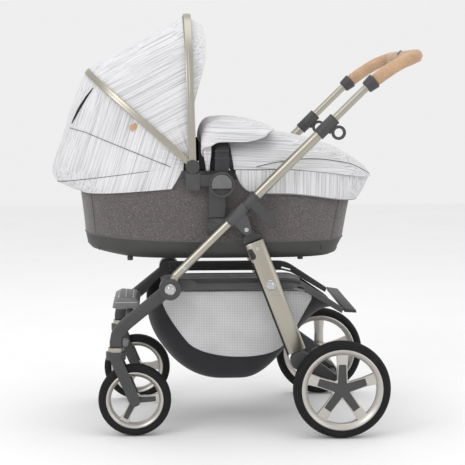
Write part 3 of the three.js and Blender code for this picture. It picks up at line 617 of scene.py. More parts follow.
@dataclass(frozen=True)
class Moulded(Finish):
    """Moulded plastic with a fine spark-eroded grain and a painted highlight on its sharpest edges."""

    colour: Colour = (0.050, 0.050, 0.052)
    rough: float = 0.48
    grain: float = 1400
    depth: float = 0.05

    def build(self, bench: Bench) -> Stuff:
        """Builds the material."""
        place = bench.place(False)
        grain = bench.noise(place, self.grain, 2)
        cloudy = bench.noise(place, 22, 3)
        colour = bench.tones(cloudy, self.colour, (0.3, 0.9), (0.7, 1.1))
        # Painted highlight: the sharpest edges are mixed part way towards a colour 1.7 times lighter.
        painted_edge_highlight = bench.math("MULTIPLY", bench.painted_edge_highlight(0.51, 0.66), 0.6)
        colour = bench.tint("MIX", painted_edge_highlight, colour, shaded(self.colour, 1.7))
        rough = bench.math("ADD", bench.span(grain, self.rough - 0.06, self.rough + 0.06),
                           bench.span(cloudy, -0.03, 0.03))
        return bench.done(colour, rough, bench.bump(grain, self.depth, 0.6), Specular_IOR_Level=0.45)


@dataclass(frozen=True)
class Rubber(Finish):
    """Foam tyre rubber, duller where it meets the road."""

    colour: Colour = (0.010, 0.010, 0.011)
    blocks: int = 84

    def build(self, bench: Bench) -> Stuff:
        """Builds the material."""
        place = bench.place(False)
        pits = bench.noise(place, 900, 3)
        dust = bench.noise(place, 30, 4)
        colour = bench.tones(dust, self.colour, (0.35, 1.0), (0.8, 1.9))
        relief = bench.bump(pits, 0.12, 0.5)
        cut = bench.add("UVMap", "UV", uv_map="cut")
        round_way, over = (bench.add("SeparateXYZ", axis, {0: cut}) for axis in "XY")
        tread = bench.math("FRACT", bench.math("MULTIPLY", round_way, self.blocks), 0)
        groove = bench.math("GREATER_THAN", tread, 0.78)
        off = bench.math("ABSOLUTE", bench.math("SUBTRACT", over, 0.5), 0)
        band = bench.math("LESS_THAN", off, 0.17)
        edge = bench.math("GREATER_THAN", off, 0.05)
        height = bench.math("MULTIPLY", bench.math("MULTIPLY", groove, band), edge)
        relief = bench.bump(bench.math("SUBTRACT", bench.span(height, 1, 1), height), 1.2, 1.0, relief)
        return bench.done(colour, bench.span(dust, 0.68, 0.85), relief, Specular_IOR_Level=0.2)


@dataclass(frozen=True)
class Leather(Finish):
    """Grained leather with darker pores and a soft shine on the crests."""

    colour: Colour = (0.56, 0.365, 0.22)

    def build(self, bench: Bench) -> Stuff:
        """Builds the material."""
        place = bench.place(False)
        pebble = bench.cells(place, 620)
        fine = bench.noise(place, 1500, 3)
        cloudy = bench.noise(place, 28, 4)
        colour = bench.tones(cloudy, self.colour, (0.28, 0.82), (0.72, 1.14))
        pores = bench.ramp(pebble, [(0.0, shaded(self.colour, 0.55)), (0.12, (1, 1, 1))])
        colour = bench.tint("MULTIPLY", 0.45, colour, pores)
        relief = bench.bump(fine, 0.05, 0.5, bench.bump(pebble, 0.25, 0.7))
        return bench.done(colour, bench.span(fine, 0.42, 0.62), relief, Specular_IOR_Level=0.4,
                          Sheen_Weight=0.15, Sheen_Roughness=0.5)


@dataclass(frozen=True)
class StreakCloth(Finish):
    """Woven cloth with long fine streaks that run one way."""

    turn: tuple[float, float, float] = (0, 0, 0)
    light: Colour = (0.76, 0.76, 0.77)
    dark: Colour = (0.46, 0.46, 0.475)
    long_scale: float = 2.6
    fine_scale: float = 330

    def build(self, bench: Bench) -> Stuff:
        """Builds the material."""
        place = bench.place(True)
        fine = self.fine_scale
        broad = bench.noise(bench.stretched(place, self.turn, (self.long_scale, fine * 0.4, fine * 0.5)),
                            1, 4, 0.62)
        thin = bench.noise(bench.stretched(place, self.turn, (self.long_scale * 1.8, fine, fine * 1.8)),
                           1, 3, 0.6)
        soft = bench.noise(place, 5, 2)
        middle = tuple((a + b) / 2 for a, b in zip(self.light, self.dark))
        colour = bench.ramp(broad, [(0.30, middle), (0.52, self.light), (1.0, self.light)])
        lines = bench.ramp(thin, [(0.34, self.dark), (0.51, (1, 1, 1)), (1.0, (1, 1, 1))])
        colour = bench.tint("MULTIPLY", 0.85, colour, lines)
        colour = bench.tint("MULTIPLY", 0.5, colour,
                            bench.ramp(soft, [(0.3, (0.9, 0.9, 0.91)), (0.7, (1, 1, 1))]))
        weft = bench.wave(bench.stretched(place, self.turn, (1, 1, 1)), "X", 1150)
        warp = bench.wave(bench.stretched(place, self.turn, (1, 1, 1)), "DIAGONAL", 1150)
        weave = bench.math("MULTIPLY", weft, warp)
        relief = bench.bump(weave, 0.18, 0.5, bench.bump(thin, 0.3, 0.5))
        return bench.done(colour, bench.span(thin, 0.86, 0.96), relief, Specular_IOR_Level=0.2,
                          Sheen_Weight=0.15, Sheen_Roughness=0.6)


@dataclass(frozen=True)
class Tweed(Finish):
    """Melange cloth of several yarn colours."""

    colour: Colour = (0.090, 0.080, 0.078)
    fleck: Colour = (0.26, 0.25, 0.25)

    def build(self, bench: Bench) -> Stuff:
        """Builds the material."""
        place = bench.place(True)
        yarn = bench.noise(place, 520, 4, 0.7)
        fleck = bench.noise(bench.stretched(place, (0, 0, 0), (1.0, 1.0, 0.55)), 330, 3, 0.7)
        warm = bench.noise(place, 60, 3)
        colour = bench.tones(yarn, self.colour, (0.34, 0.42), (0.5, 1.0), (0.66, 2.0))
        flecks = bench.math("MULTIPLY", bench.mask(fleck, 0.56, 0.66), 0.5)
        colour = bench.tint("MIX", flecks, colour, self.fleck)
        colour = bench.tint("MULTIPLY", 0.6, colour,
                            bench.ramp(warm, [(0.35, (0.86, 0.84, 0.9)), (0.65, (1, 0.96, 0.92))]))
        relief = bench.bump(yarn, 0.5, 0.7)
        return bench.done(colour, bench.span(yarn, 0.85, 0.98), relief, Specular_IOR_Level=0.15,
                          Sheen_Weight=0.3, Sheen_Roughness=0.7)


@dataclass(frozen=True)
class PlainCloth(Finish):
    """Plain weave, or open mesh where its holes are dark."""

    colour: Colour = (0.8, 0.8, 0.8)
    threads: float = 900
    holes: float = 0.0

    def build(self, bench: Bench) -> Stuff:
        """Builds the material."""
        place = bench.place(True)
        weft = bench.wave(place, "X", self.threads)
        warp = bench.wave(place, "Z", self.threads)
        weave = bench.math("MULTIPLY", weft, warp)
        cloudy = bench.noise(place, 14, 4)
        colour = bench.tones(cloudy, self.colour, (0.3, 0.9), (0.7, 1.06))
        if self.holes > 0:
            grid = bench.math("MINIMUM", bench.wave(place, "X", self.threads / 6),
                              bench.wave(place, "Z", self.threads / 6))
            dark = bench.ramp(grid, [(0.0, shaded(self.colour, 1 - self.holes)), (0.22, (1, 1, 1))])
            colour = bench.tint("MULTIPLY", 0.8, colour, dark)
            colour = bench.tint("MULTIPLY", 0.5, colour,
                                bench.ramp(weave, [(0.0, (0.55, 0.55, 0.55)), (0.5, (1, 1, 1))]))
        relief = bench.bump(weave, 0.2, 0.6)
        return bench.done(colour, bench.span(weave, 0.82, 0.94), relief, Specular_IOR_Level=0.2,
                          Sheen_Weight=0.2, Sheen_Roughness=0.6)


CHAMPAGNE = SatinMetal("champagne_anodised")
WHEEL_METAL = SatinMetal("champagne_cast", colour=(0.55, 0.53, 0.49), rough=0.38, grain=(90, 90, 90))
CHROME = SatinMetal("bright_chrome", colour=(0.50, 0.50, 0.50), rough=0.16)
GREY = Moulded("grey_moulding")
PLATE = Moulded("footplate_moulding", colour=(0.21, 0.21, 0.215))
PALE_STRIP = Moulded("pale_grip_strip", colour=(0.62, 0.62, 0.62), rough=0.6)
DARK = Moulded("dark_moulding", colour=(0.026, 0.026, 0.028), rough=0.5)
TRAY = Moulded("tray_moulding", colour=(0.043, 0.045, 0.040), rough=0.55, grain=900, depth=0.12)
BLACK = Moulded("black_fitting", colour=(0.012, 0.012, 0.013), rough=0.45)
SILVER = Moulded("silver_moulding", colour=(0.13, 0.13, 0.128), rough=0.28, grain=2200, depth=0.02)
TYRE = Rubber("tyre_foam")
TAN = Leather("tan_leather_wrap")
THREAD = Moulded("seam_thread", colour=(0.42, 0.25, 0.13), rough=0.8)
HOOD_FRONT = StreakCloth("streak_cloth_hood_front", turn=(0, 27, 0))
HOOD_REAR = StreakCloth("streak_cloth_hood_rear", turn=(0, 72, 0))
APRON_TOP = StreakCloth("streak_cloth_apron", turn=(0, -3, 0))
SKIRT = StreakCloth("streak_cloth_skirt", turn=(0, 90, 0))
WALL = Tweed("melange_tweed")
LINER = PlainCloth("white_cotton", colour=(0.70, 0.70, 0.69))
TRIM = PlainCloth("black_trim_cloth", colour=(0.016, 0.016, 0.019), threads=1000)
MESH = PlainCloth("light_grey_mesh", colour=(0.72, 0.72, 0.73), threads=1300, holes=0.36)
PIPING = PlainCloth("grey_piping", colour=(0.11, 0.11, 0.115), threads=1500)
LIGHT_PIPING = PlainCloth("pale_piping", colour=(0.30, 0.30, 0.31), threads=1500)

SLOT_FINISH = {
    "champagne_metal": CHAMPAGNE, "grey_plastic": GREY, "dark_plastic": DARK, "tyre_rubber": TYRE,
    "tan_leather": TAN, "silver_button": SILVER, "white_fabric": LINER, "melange_fabric": WALL,
    "tray_plastic": TRAY, "mesh_fabric": TRIM, "mattress_fabric": LINER,
}


# ---------------------------------------------------------------- running gear


class Corner(Enum):
    """The two kinds of wheel."""

    REAR = "rear"
    FRONT = "front"


WHEEL_SIZES = {
    Corner.REAR: {"spokes": 5, "first_spoke": 90.0, "spoke_width": 30.0, "flare": 34.0,
                  "insert_width": 21.0, "insert_reach": 69.0, "rim_depth": 13.5,
                  "tyre_depth": 25.0, "hub": 30.0},
    Corner.FRONT: {"spokes": 3, "first_spoke": 3.0, "spoke_width": 22.0, "flare": 30.0,
                   "insert_width": 14.0, "insert_reach": 58.0, "rim_depth": 10.6,
                   "tyre_depth": 24.0, "hub": 19.0},
}


@dataclass
class Wheel:
    """A tyre on a cast wheel with a grey star let into its spokes."""

    corner: Corner
    side: str
    spokes: int
    first_spoke: float
    spoke_width: float
    flare: float
    insert_width: float
    insert_reach: float
    rim_depth: float
    tyre_depth: float
    hub: float
    centre: Vector = field(init=False)
    radius: float = field(init=False)
    half: float = field(init=False)
    out: int = field(init=False)

    def __post_init__(self) -> None:
        """Reads the wheel's place from its tyre."""
        tyre = f"{self.corner.value}_tyre_{self.side}"
        low, high = DATUM.box(tyre)
        self.centre = (low + high) / 2
        self.radius = (high.z - low.z) / 2
        self.half = (high.y - low.y) / 2
        self.out = SIDES[self.side]

    def build(self) -> None:
        """Builds the tyre, the casting and the star."""
        kind, side = self.corner.value, self.side
        body = f"{kind}_wheel_{side}"
        for shape, part, node, finish, slot, sharp in (
                (self.tyre(), "tyre", "tyre", TYRE, "tyre_rubber", 50),
                (self.casting(), "casting", "rim", WHEEL_METAL, "champagne_metal", 35),
                (self.star(), "star", "hub_insert", GREY, "grey_plastic", 35)):
            piece = settle(shape, f"{body}_{part}", finish, body, sharp)
            stand_in(piece, f"{kind}_{node}_{side}", slot)

    def tyre(self) -> Shape:
        """A rounded tyre with two sidewall ribs."""
        deep = self.tyre_depth
        rim = self.radius - deep
        rows = [(rim + deep * share, y) for share, y in (
            (0, -0.72), (0.1, -0.86), (0.22, -0.95), (0.26, -0.92), (0.5, -1.0), (0.7, -0.93),
            (0.74, -0.86), (0.86, -0.74), (0.95, -0.52), (0.99, -0.3), (1, -0.16), (0.96, -0.1),
            (0.96, 0.1), (1, 0.16))]
        rows += [(r, -y) for r, y in reversed(rows[:10])]

        def place(u: float, v: float) -> Vector:
            """A point of the tyre: u round the wheel, v over the tread."""
            at = v * (len(rows) - 1)
            k = min(int(at), len(rows) - 2)
            r = lerp(rows[k][0], rows[k + 1][0], at - k)
            y = lerp(rows[k][1], rows[k + 1][1], at - k) * self.half
            angle = 2 * math.pi * u
            return self.centre + Vector((r * math.cos(angle), y, r * math.sin(angle)))

        shape = surface(place, 120, (len(rows) - 1) * 2, True)
        hoops = [e for e in shape.edges if e.is_boundary]
        bmesh.ops.bridge_loops(shape, edges=hoops)
        return shape

    def spoke(self, angle: float) -> Shape:
        """One spoke, waisted and flared where it meets the rim."""
        reach = self.radius - self.tyre_depth - self.rim_depth * 0.6
        wide, flare = self.spoke_width / 2, self.flare / 2
        edge = [(0, wide), (reach * 0.62, wide * 0.9), (reach - 10, flare * 0.92), (reach + 2, flare)]
        outline = [(x, -z) for x, z in edge] + edge[::-1]
        y0, y1 = sorted((-5.0 * self.out, 8.0 * self.out))
        made = plate(outline, y0, y1, 2.5, 1.4)
        bmesh.ops.rotate(made, cent=(0, 0, 0), matrix=Matrix.Rotation(-math.radians(angle), 3, "Y"),
                         verts=made.verts)
        return made

    def casting(self) -> Shape:
        """The rim with rolled lips, the spokes and the hub."""
        outer = self.radius - self.tyre_depth - 0.2
        inner = outer - self.rim_depth
        wide = self.half * 0.74
        flank = [(inner, wide * 0.5), (inner + 3, wide * 0.72), (outer - 3, wide + 2.4),
                 (outer, wide + 3.4), (outer + 2.4, wide + 2.4), (outer + 2.2, wide + 0.6), (outer, wide)]
        profile = [(r, -y) for r, y in flank[::-1]] + flank + [(outer, -wide)]
        ring = turned(profile, Vector((0, 0, 0)))
        hub = turned([(0, -wide), (self.hub * 0.7, -wide), (self.hub * 0.82, -wide + 2), (self.hub, -4),
                      (self.hub, 6), (self.hub - 1.5, 7.4), (0, 7.4)],
                     Vector((0, 0, 0)), Vector((0, self.out, 0)), 48)
        angles = [self.first_spoke + i * 360 / self.spokes for i in range(self.spokes)]
        whole = joined(ring, hub, *[self.spoke(angle) for angle in angles])
        bmesh.ops.translate(whole, verts=whole.verts, vec=self.centre)
        return whole

    def star(self) -> Shape:
        """The grey star: square-ended arms round a softened middle."""
        wide = self.insert_width / 2
        step = math.pi / self.spokes
        notch = wide / math.sin(step) * 1.18
        outline = []
        for i in range(self.spokes):
            angle = math.radians(self.first_spoke) + i * 2 * step
            along = Vector((math.cos(angle), math.sin(angle)))
            across = Vector((-along.y, along.x))
            for share in (-1, 1):
                end = along * self.insert_reach + across * wide * share
                outline.append((end.x, end.y))
            corner = Vector((math.cos(angle + step), math.sin(angle + step))) * notch
            outline.append((corner.x, corner.y))
        y0, y1 = sorted((7.0 * self.out, 10.6 * self.out))
        made = plate(outline, y0, y1, 2.2, 0.9)
        bmesh.ops.translate(made, verts=made.verts, vec=self.centre)
        return made


def rivet(place: Vector, radius: float, out: float, height: float = 2.2, stem: float = 2.0) -> Shape:
    """A domed rivet head facing out across the stroller.

    Args:
        place: The middle of its underside.
        radius: Its radius.
        out: 1 for the right side and -1 for the left.
        height: How far the dome stands up.
        stem: How far it reaches in.

    Returns:
        The rivet.
    """
    rows = [(0, -stem), (radius, -stem), (radius, height * 0.35)]
    rows += [(radius * math.cos(a), height * (0.35 + 0.65 * math.sin(a)))
             for a in (0.35, 0.7, 1.05, 1.3)] + [(radius * 0.12, height * 0.92), (0, height * 0.86)]
    return turned(rows, place, Vector((0, out, 0)), 40)


def cap(place: Vector, radius: float, out: float) -> Shape:
    """A polished cap with a raised lip and a dished, turned face."""
    rows = [(0, -2), (radius, -2), (radius, 2.4), (radius - 1.2, 3.6), (radius - 2.6, 3.2),
            (radius - 3.4, 2.0), (radius * 0.45, 3.2), (radius * 0.35, 4.2), (radius * 0.2, 4.4), (0, 4.4)]
    return turned(rows, place, Vector((0, out, 0)), 56)


@dataclass
class Chassis:
    """Front legs, side rails, casters, footplate and the fittings on them."""

    cap_radius: float = 15.0
    stripe: float = 4.0

    def build(self) -> None:
        """Builds every piece of the chassis for both sides."""
        for side in SIDES:
            for stem in ("front_leg", "side_rail", "caster_fork"):
                refined(f"{stem}_{side}", GREY, "grey_plastic", 1.4)
            refined(f"swivel_lock_{side}", SILVER, "silver_button", 1.0)
            self.fittings(side, SIDES[side])
        refined("front_crossbar", GREY, "grey_plastic", 0.6)
        refined("rear_crossplate", DARK, "dark_plastic", 0.8)
        self.footplate()

    def fittings(self, side: str, out: int) -> None:
        """The head cap, the caster ring and the rails' dark channel on one side."""
        head = DATUM.pivot("tube_tilt")
        face = DATUM.high(f"front_leg_{side}").y if out > 0 else DATUM.low(f"front_leg_{side}").y
        settle(cap(Vector((head.x, face, head.z)), self.cap_radius, out), f"head_cap_{side}",
               CHROME, "chassis")
        swivel = DATUM.pivot(f"caster_swivel_{side}")
        ring = turned([(17.5, -6.6), (20.6, -6.6), (21.4, -5.6), (21.4, 5.4), (20.4, 6.4), (17.5, 6.4),
                       (17.5, -6.6)],
                      Vector((swivel.x, swivel.y, swivel.z + 1.2)), UP, 56)
        settle(ring, f"caster_ring_{side}", CHAMPAGNE, "chassis")
        rail_face = (DATUM.low("cot_side_bracket_right").y - 1) * out
        top = DATUM.high(f"side_rail_{side}").z
        x1 = DATUM.pivot("frame_fold").x + 62
        outline = [(head.x + 30, top - 11), (x1, top - 11), (x1 + 24, top - 17), (x1 + 24, top - 8.5),
                   (x1 - 4, top - 2.4), (head.x + 30, top - 2.4)]
        y0, y1 = sorted((rail_face - 1.2 * out, rail_face + 0.5 * out))
        settle(plate(outline, y0, y1, 1.2, 0.3), f"rail_channel_{side}", BLACK, "chassis")
        slot = [(x1 + 3, top - 29), (x1 + 34, top - 37), (x1 + 36, top - 32), (x1 + 5, top - 24)]
        settle(plate(slot, y0, y1 + 0.01, 1.5, 0.3), f"rail_slot_trim_{side}", SILVER, "chassis")

    def footplate(self) -> None:
        """The moulded footplate with its ribbed grip strips."""
        refined("footplate", PLATE, "dark_plastic", 2.0)
        low, high = DATUM.box("footplate")
        strips = []
        for share, sunk in ((0.24, 2.2), (0.5, 0.4), (0.76, 2.2)):
            x = lerp(low.x, high.x, share)
            path = [Vector((x, lerp(low.y + 7, high.y - 7, k / 6),
                            high.z - sunk - 1.6 * abs(k / 3 - 1) ** 4)) for k in range(7)]
            strips.append(sweep(path, lambda s: softened(self.stripe, 2.6, 3, 16), UP))
        for out in (-1, 1):
            y = high.y * out + 0.4 * out
            path = [Vector((lerp(low.x + 9, high.x - 9, k / 5), y, lerp(low.z, high.z, 0.55)))
                    for k in range(6)]
            strips.append(sweep(path, lambda s: softened(3.4, 2.0, 3, 14), UP))
        settle(joined(*strips), "footplate_strips", PALE_STRIP, "chassis")


@dataclass
class Basket:
    """A black cloth basket hung in the rails, with light mesh panels."""

    wall: float = 2.0
    exponent: float = 5.0
    rim_drop: float = 66.0
    front_run: float = 195.0
    back_run: float = 250.0
    panel_edge: Rows = ((-207, 392), (-200, 356), (-179, 315), (-129, 247), (-100, 228), (-73, 218),
                        (-30, 209), (16, 206), (60, 208), (106, 216), (135, 229), (157, 249),
                        (180, 292), (196, 323), (221, 372))

    def __post_init__(self) -> None:
        """Reads the basket's box."""
        self.low, self.high = DATUM.box("basket")

    def rim(self, x: float) -> float:
        """The height of the basket's edge at x."""
        return (self.high.z - self.rim_drop * ease(x, self.high.x - 116, self.high.x + 29)
                - 34 * ease(-x, -self.low.x - 59, -self.low.x + 6))

    def depth(self, share: float) -> tuple[float, float, float]:
        """The head end, foot end and half width at a share of the way down."""
        return (self.low.x + self.front_run * (1 - math.cos(share * math.pi / 2)) ** 1.05,
                self.high.x - self.back_run * share ** 0.8, lerp(self.high.y, 140, share ** 2.5))

    def point(self, angle: float, share: float) -> Vector:
        """A point of the basket's wall."""
        x0, x1, wide = self.depth(share)
        a, b = squarish(angle, self.exponent)
        x = (x0 + x1) / 2 + (x1 - x0) / 2 * a
        z = lerp(self.rim(x), self.low.z, math.sin(share * math.pi / 2))
        return Vector((x, wide * b, z + 3 * share * (1 - share) * math.sin(x / 37)))

    def wall_y(self, x: float, z: float, out: float) -> float:
        """How far out the wall is at x and z."""
        fall = min(1.0, max(0.0, (self.rim(x) - z) / (self.rim(x) - self.low.z)))
        share = math.asin(fall) * 2 / math.pi
        x0, x1, wide = self.depth(share)
        across = min(0.999, abs((x - (x0 + x1) / 2) / ((x1 - x0) / 2)))
        return out * wide * (1 - across ** self.exponent) ** (1 / self.exponent)

    def build(self) -> None:
        """Builds the body, the panels and their piping."""
        def place(u: float, v: float) -> Vector:
            """A point of the wall and floor: v from the rim to the middle of the floor."""
            angle = 2 * math.pi * u
            if v <= 0.8:
                point = self.point(angle, (v / 0.8) ** 0.85)
            else:
                edge = self.point(angle, 1.0)
                middle = Vector((sum(self.depth(1.0)[:2]) / 2, 0, edge.z))
                share = (v - 0.8) / 0.2
                point = edge.lerp(middle, share)
                point.z -= 1.5 * math.sin(math.pi * min(1, share * 1.2))
            return point

        shape = surface(place, 128, 34, True)
        body = cloth(shape, "basket_body", TRIM, "chassis", self.wall)
        stand_in(body, "basket", "mesh_fabric")
        for side, out in SIDES.items():
            self.panel(side, out)

    def panel(self, side: str, out: int) -> None:
        """The light mesh panel outside and inside one wall, with piping round it."""
        x0, x1, top = -205.0, 219.0, self.high.z - 1.5

        def place(inset: float) -> Callable[[float, float], Vector]:
            """A point of the panel at a distance from the wall."""
            def at(u: float, v: float) -> Vector:
                """u along the panel and v up it."""
                x = lerp(x0, x1, 0.5 - 0.5 * math.cos(math.pi * u))
                low = table(self.panel_edge, x)
                high = max(low + 2, min(top, self.rim(x) - 2))
                z = lerp(low, high, v)
                return Vector((x, self.wall_y(x, z, out) + inset * out, z))
            return at

        for name, inset in (("outer", 0.9), ("inner", -self.wall - 0.9)):
            mesh = cloth(surface(place(inset), 84, 40), f"basket_mesh_{name}_{side}", MESH, "chassis",
                         0.0, False)
        edge = place(1.0)
        path = [edge(0.0, 1.0)] + [edge(k / 60, 0.0) for k in range(61)] + [edge(1.0, 1.0)]
        piping(path, 1.6, f"basket_piping_{side}", BLACK, "chassis", 10, ACROSS)


# ---------------------------------------------------------------- frame tubes and handle


@dataclass
class Tubes:
    """The telescoping tubes with their housings, levers and collars."""

    lower_radius: float = 12.5
    upper_radius: float = 13.7
    lower_start: float = 34.0
    lower_end: float = 380.0
    upper_start: float = 300.3
    upper_end: float = 648.0
    offset: float = 14.8
    housing_lip: float = 242.0
    link_along: float = 262.6
    link_across: float = -31.3
    link_face: float = 250.0
    housing_band: float = 307.2
    crown: float = 347.5
    trigger_ribs: tuple[float, ...] = (585.0, 600.0, 644.0)

    def __post_init__(self) -> None:
        """Reads the tubes' own frame: along them, and square to them."""
        self.origin = DATUM.pivot("tube_tilt")
        self.along = DATUM.axis("handle_slide")
        self.over = Vector((-self.along.z, 0, self.along.x))

    def at(self, along: float, across: float, y: float) -> Vector:
        """A point in the tubes' frame."""
        return Vector((self.origin.x, y, self.origin.z)) + self.along * along + self.over * across

    def build(self) -> None:
        """Builds the tubes and what slides on them, for both sides."""
        for side, out in SIDES.items():
            y = DATUM.middle(f"upper_tube_{side}").y
            foot = rod(self.at(4, 4, y), self.at(self.lower_start + 6, self.offset, y),
                       self.lower_radius - 1, 36)
            lower = joined(self.bar(self.lower_start, self.lower_end, self.lower_radius, y), foot)
            upper = self.bar(self.upper_start, self.upper_end, self.upper_radius, y)
            for shape, name, body in ((lower, "lower_tube", "lower_tubes"),
                                      (upper, "upper_tube", "upper_frame")):
                piece = settle(shape, f"{name}_bar_{side}", CHAMPAGNE, body)
                stand_in(piece, f"{name}_{side}", "champagne_metal")
            for stem in ("slide_housing", "fold_lever", "ring_trigger"):
                refined(f"{stem}_{side}", GREY, "grey_plastic", 1.2)
            self.fittings(side, out, y)

    def fittings(self, side: str, out: int, y: float) -> None:
        """Rivets, parting lines and ribs on one side."""
        head = rivet(self.at(68, self.offset - 2, y + out * (self.lower_radius - 0.6)), 5.0, out, 1.8)
        settle(head, f"tube_rivet_{side}", CHROME, "lower_tubes")
        pin = self.at(self.link_along, self.link_across, self.link_face * out)
        settle(rivet(pin, 6.0, out, 2.2), f"link_rivet_{side}", CHROME, "upper_frame")
        band = self.collar(17.1, 18.0, 1.2, 0.9, self.housing_band, y)
        lip = self.collar(17.2, 18.4, 1.6, 1.2, self.housing_lip, y)
        settle(joined(band, lip), f"housing_bands_{side}", GREY, "upper_frame")
        crown = self.collar(14.2, 18.6, 1.5, 1.1, self.crown, y)
        settle(crown, f"lever_crown_{side}", GREY, f"fold_lever_{side}")
        ribs = [self.collar(16.9, 17.7, 1.0, 0.6, along, y, 44) for along in self.trigger_ribs]
        settle(joined(*ribs), f"trigger_ribs_{side}", GREY, f"ring_trigger_{side}")

    def bar(self, start: float, end: float, radius: float, y: float) -> Shape:
        """A tube between two places along the tubes' line."""
        return rod(self.at(start, self.offset, y), self.at(end, self.offset, y), radius, 44)

    def collar(self, inner: float, outer: float, foot: float, top: float, along: float, y: float,
               steps: int = 48) -> Shape:
        """A low ring round the tube.

        Args:
            inner: Its inner radius.
            outer: Its outer radius.
            foot: Half its width at the inner radius.
            top: Half its width at the outer radius.
            along: Its place along the tube.
            y: The tube's place across the stroller.
            steps: How many faces round.

        Returns:
            The ring.
        """
        profile = [(inner, -foot), (outer, -top), (outer, top), (inner, foot), (inner, -foot)]
        return turned(profile, self.at(along, self.offset, y), self.along, steps)


@dataclass
class Handle:
    """The bent handle tube, its leather wrap, end collars and the height button."""

    tubes: Tubes
    tube_radius: float = 10.5
    grip_radius: float = 17.5
    start: float = 560.0
    bend: float = 742.0
    top_along: float = 928.7
    top_across: float = -24.0
    collar_start: float = 766.0
    grip_start: float = 796.0
    corner: float = 48.0
    stitch_step: float = 5.5
    window: float = 19.5

    def __post_init__(self) -> None:
        """Samples the handle's centreline from the right tube round to the left."""
        y = DATUM.middle("upper_tube_right").y
        at = self.tubes.at
        offset = self.tubes.offset
        bend = [at(self.bend, offset, y), at(800, 14, y), at(846, 6, y),
                at(self.top_along - 40, self.top_across + 17, y)]
        turn = [bend[3], at(self.top_along, self.top_across, y),
                at(self.top_along, self.top_across, y - self.corner)]
        line = [at(lerp(self.start, self.bend, k / 12), offset, y) for k in range(12)]
        line += [self.curve(bend, k / 16) for k in range(16)]
        line += [self.curve(turn, k / 16) for k in range(17)]
        other = [Vector((p.x, -p.y, p.z)) for p in reversed(line)]
        middle = [line[-1].lerp(other[0], k / 24) for k in range(1, 24)]
        self.line = line + middle + other
        self.length = [0.0]
        for a, b in zip(self.line, self.line[1:]):
            self.length.append(self.length[-1] + (b - a).length)

    def curve(self, points: Sequence[Vector], t: float) -> Vector:
        """A point of the curve with these control points."""
        while len(points) > 1:
            points = [a.lerp(b, t) for a, b in zip(points, points[1:])]
        return points[0].copy()

    def point(self, distance: float) -> Vector:
        """The centreline's point at a distance from its start."""
        distance = min(self.length[-1], max(0.0, distance))
        k = next(i for i in range(len(self.length) - 1) if distance <= self.length[i + 1] + 1e-6)
        share = (distance - self.length[k]) / (self.length[k + 1] - self.length[k])
        return self.line[k].lerp(self.line[k + 1], share)

    def part(self, start: float, end: float, step: float = 5.0) -> list[Vector]:
        """Points of the centreline between two distances."""
        count = max(2, round((end - start) / step))
        return [self.point(lerp(start, end, k / count)) for k in range(count + 1)]

    def build(self) -> None:
        """Builds the tube, the wrap, its seam, the collars and the button."""
        whole = self.length[-1]
        bar = sweep(self.part(0, whole), lambda s: circle(self.tube_radius, 32), UP)
        stand_in(settle(bar, "handle_bar", CHAMPAGNE, "handlebar"), "handle_tube", "champagne_metal")
        first = self.grip_start - self.start

        def wrap(share: float) -> Ring:
            """The wrap's section, drawn in at both ends and slightly uneven."""
            end = min(share, 1 - share) * (whole - 2 * first)
            radius = self.grip_radius - 2.2 * (1 - ease(end, 0, 5)) + 0.15 * math.sin(share * 61)
            in_window = abs(share - 0.5) * (whole - 2 * first) < self.window
            top = self.tube_radius if in_window else radius
            return [(a * radius, min(b * radius, top)) for a, b in circle(1.0, 48)]

        grip = sweep(self.part(first, whole - first, 3.0), wrap, UP)
        stand_in(settle(grip, "leather_wrap", TAN, "handlebar"), "handle_grip", "tan_leather")
        self.seam(first + 4, whole - first - 4)

        def cuff(share: float) -> Ring:
            """A cuff's section, flared towards the wrap and rounded at both ends."""
            radius = lerp(self.grip_radius, self.grip_radius + 4, share)
            return circle(radius - 1.5 * (1 - ease(share, 0, 0.12)) - 1.2 * ease(share, 0.93, 1), 44)

        for side, out in SIDES.items():
            path = [Vector((p.x, p.y * out, p.z))
                    for p in self.part(self.collar_start - self.start, first, 3.0)]
            collar = settle(sweep(path, cuff, UP), f"grip_cuff_{side}", GREY, "handlebar")
            stand_in(collar, f"grip_collar_{side}", "grey_plastic")
        refined("height_button", SILVER, "silver_button", 0.8)
        self.button_seat()

    def seam(self, start: float, end: float) -> None:
        """The wrap's seam along the inside of the bend, with its stitches."""
        inward = -self.tubes.over
        count = round((end - start) / 4)
        ridge = [self.point(lerp(start, end, k / count)) + inward * (self.grip_radius - 0.4)
                 for k in range(count + 1)]
        settle(sweep(ridge, lambda s: softened(2.0, 1.4, 3, 12), UP), "wrap_seam", TAN, "handlebar")
        stitches = []
        for k in range(round((end - start) / self.stitch_step)):
            back, middle, front = (self.point(start + (k + share) * self.stitch_step)
                                   for share in (0.1, 0.5, 0.9))
            middle += inward * (self.grip_radius + 0.5)
            side = (front - back).normalized().cross(inward).normalized() * 1.7
            stitches.append(sweep([middle - side, middle + side], lambda s: circle(0.45, 6), inward))
        settle(joined(*stitches), "wrap_stitches", THREAD, "handlebar")

    def button_seat(self) -> None:
        """The oval collar in the wrap that the height button sits in."""
        middle = DATUM.middle("height_button")
        along, over = self.tubes.along, self.tubes.over
        seat = [[middle + along * a * radius + Vector((0, b * radius, 0)) + over * rise
                 for a, b in softened(20, 37, 3, 40)]
                for radius, rise in ((1.28, -8.4), (1.28, -5.6), (1.2, -4.6), (1.08, -4.6), (1.08, -8.4))]
        settle(skin(seat, False), "button_seat", DARK, "handlebar")


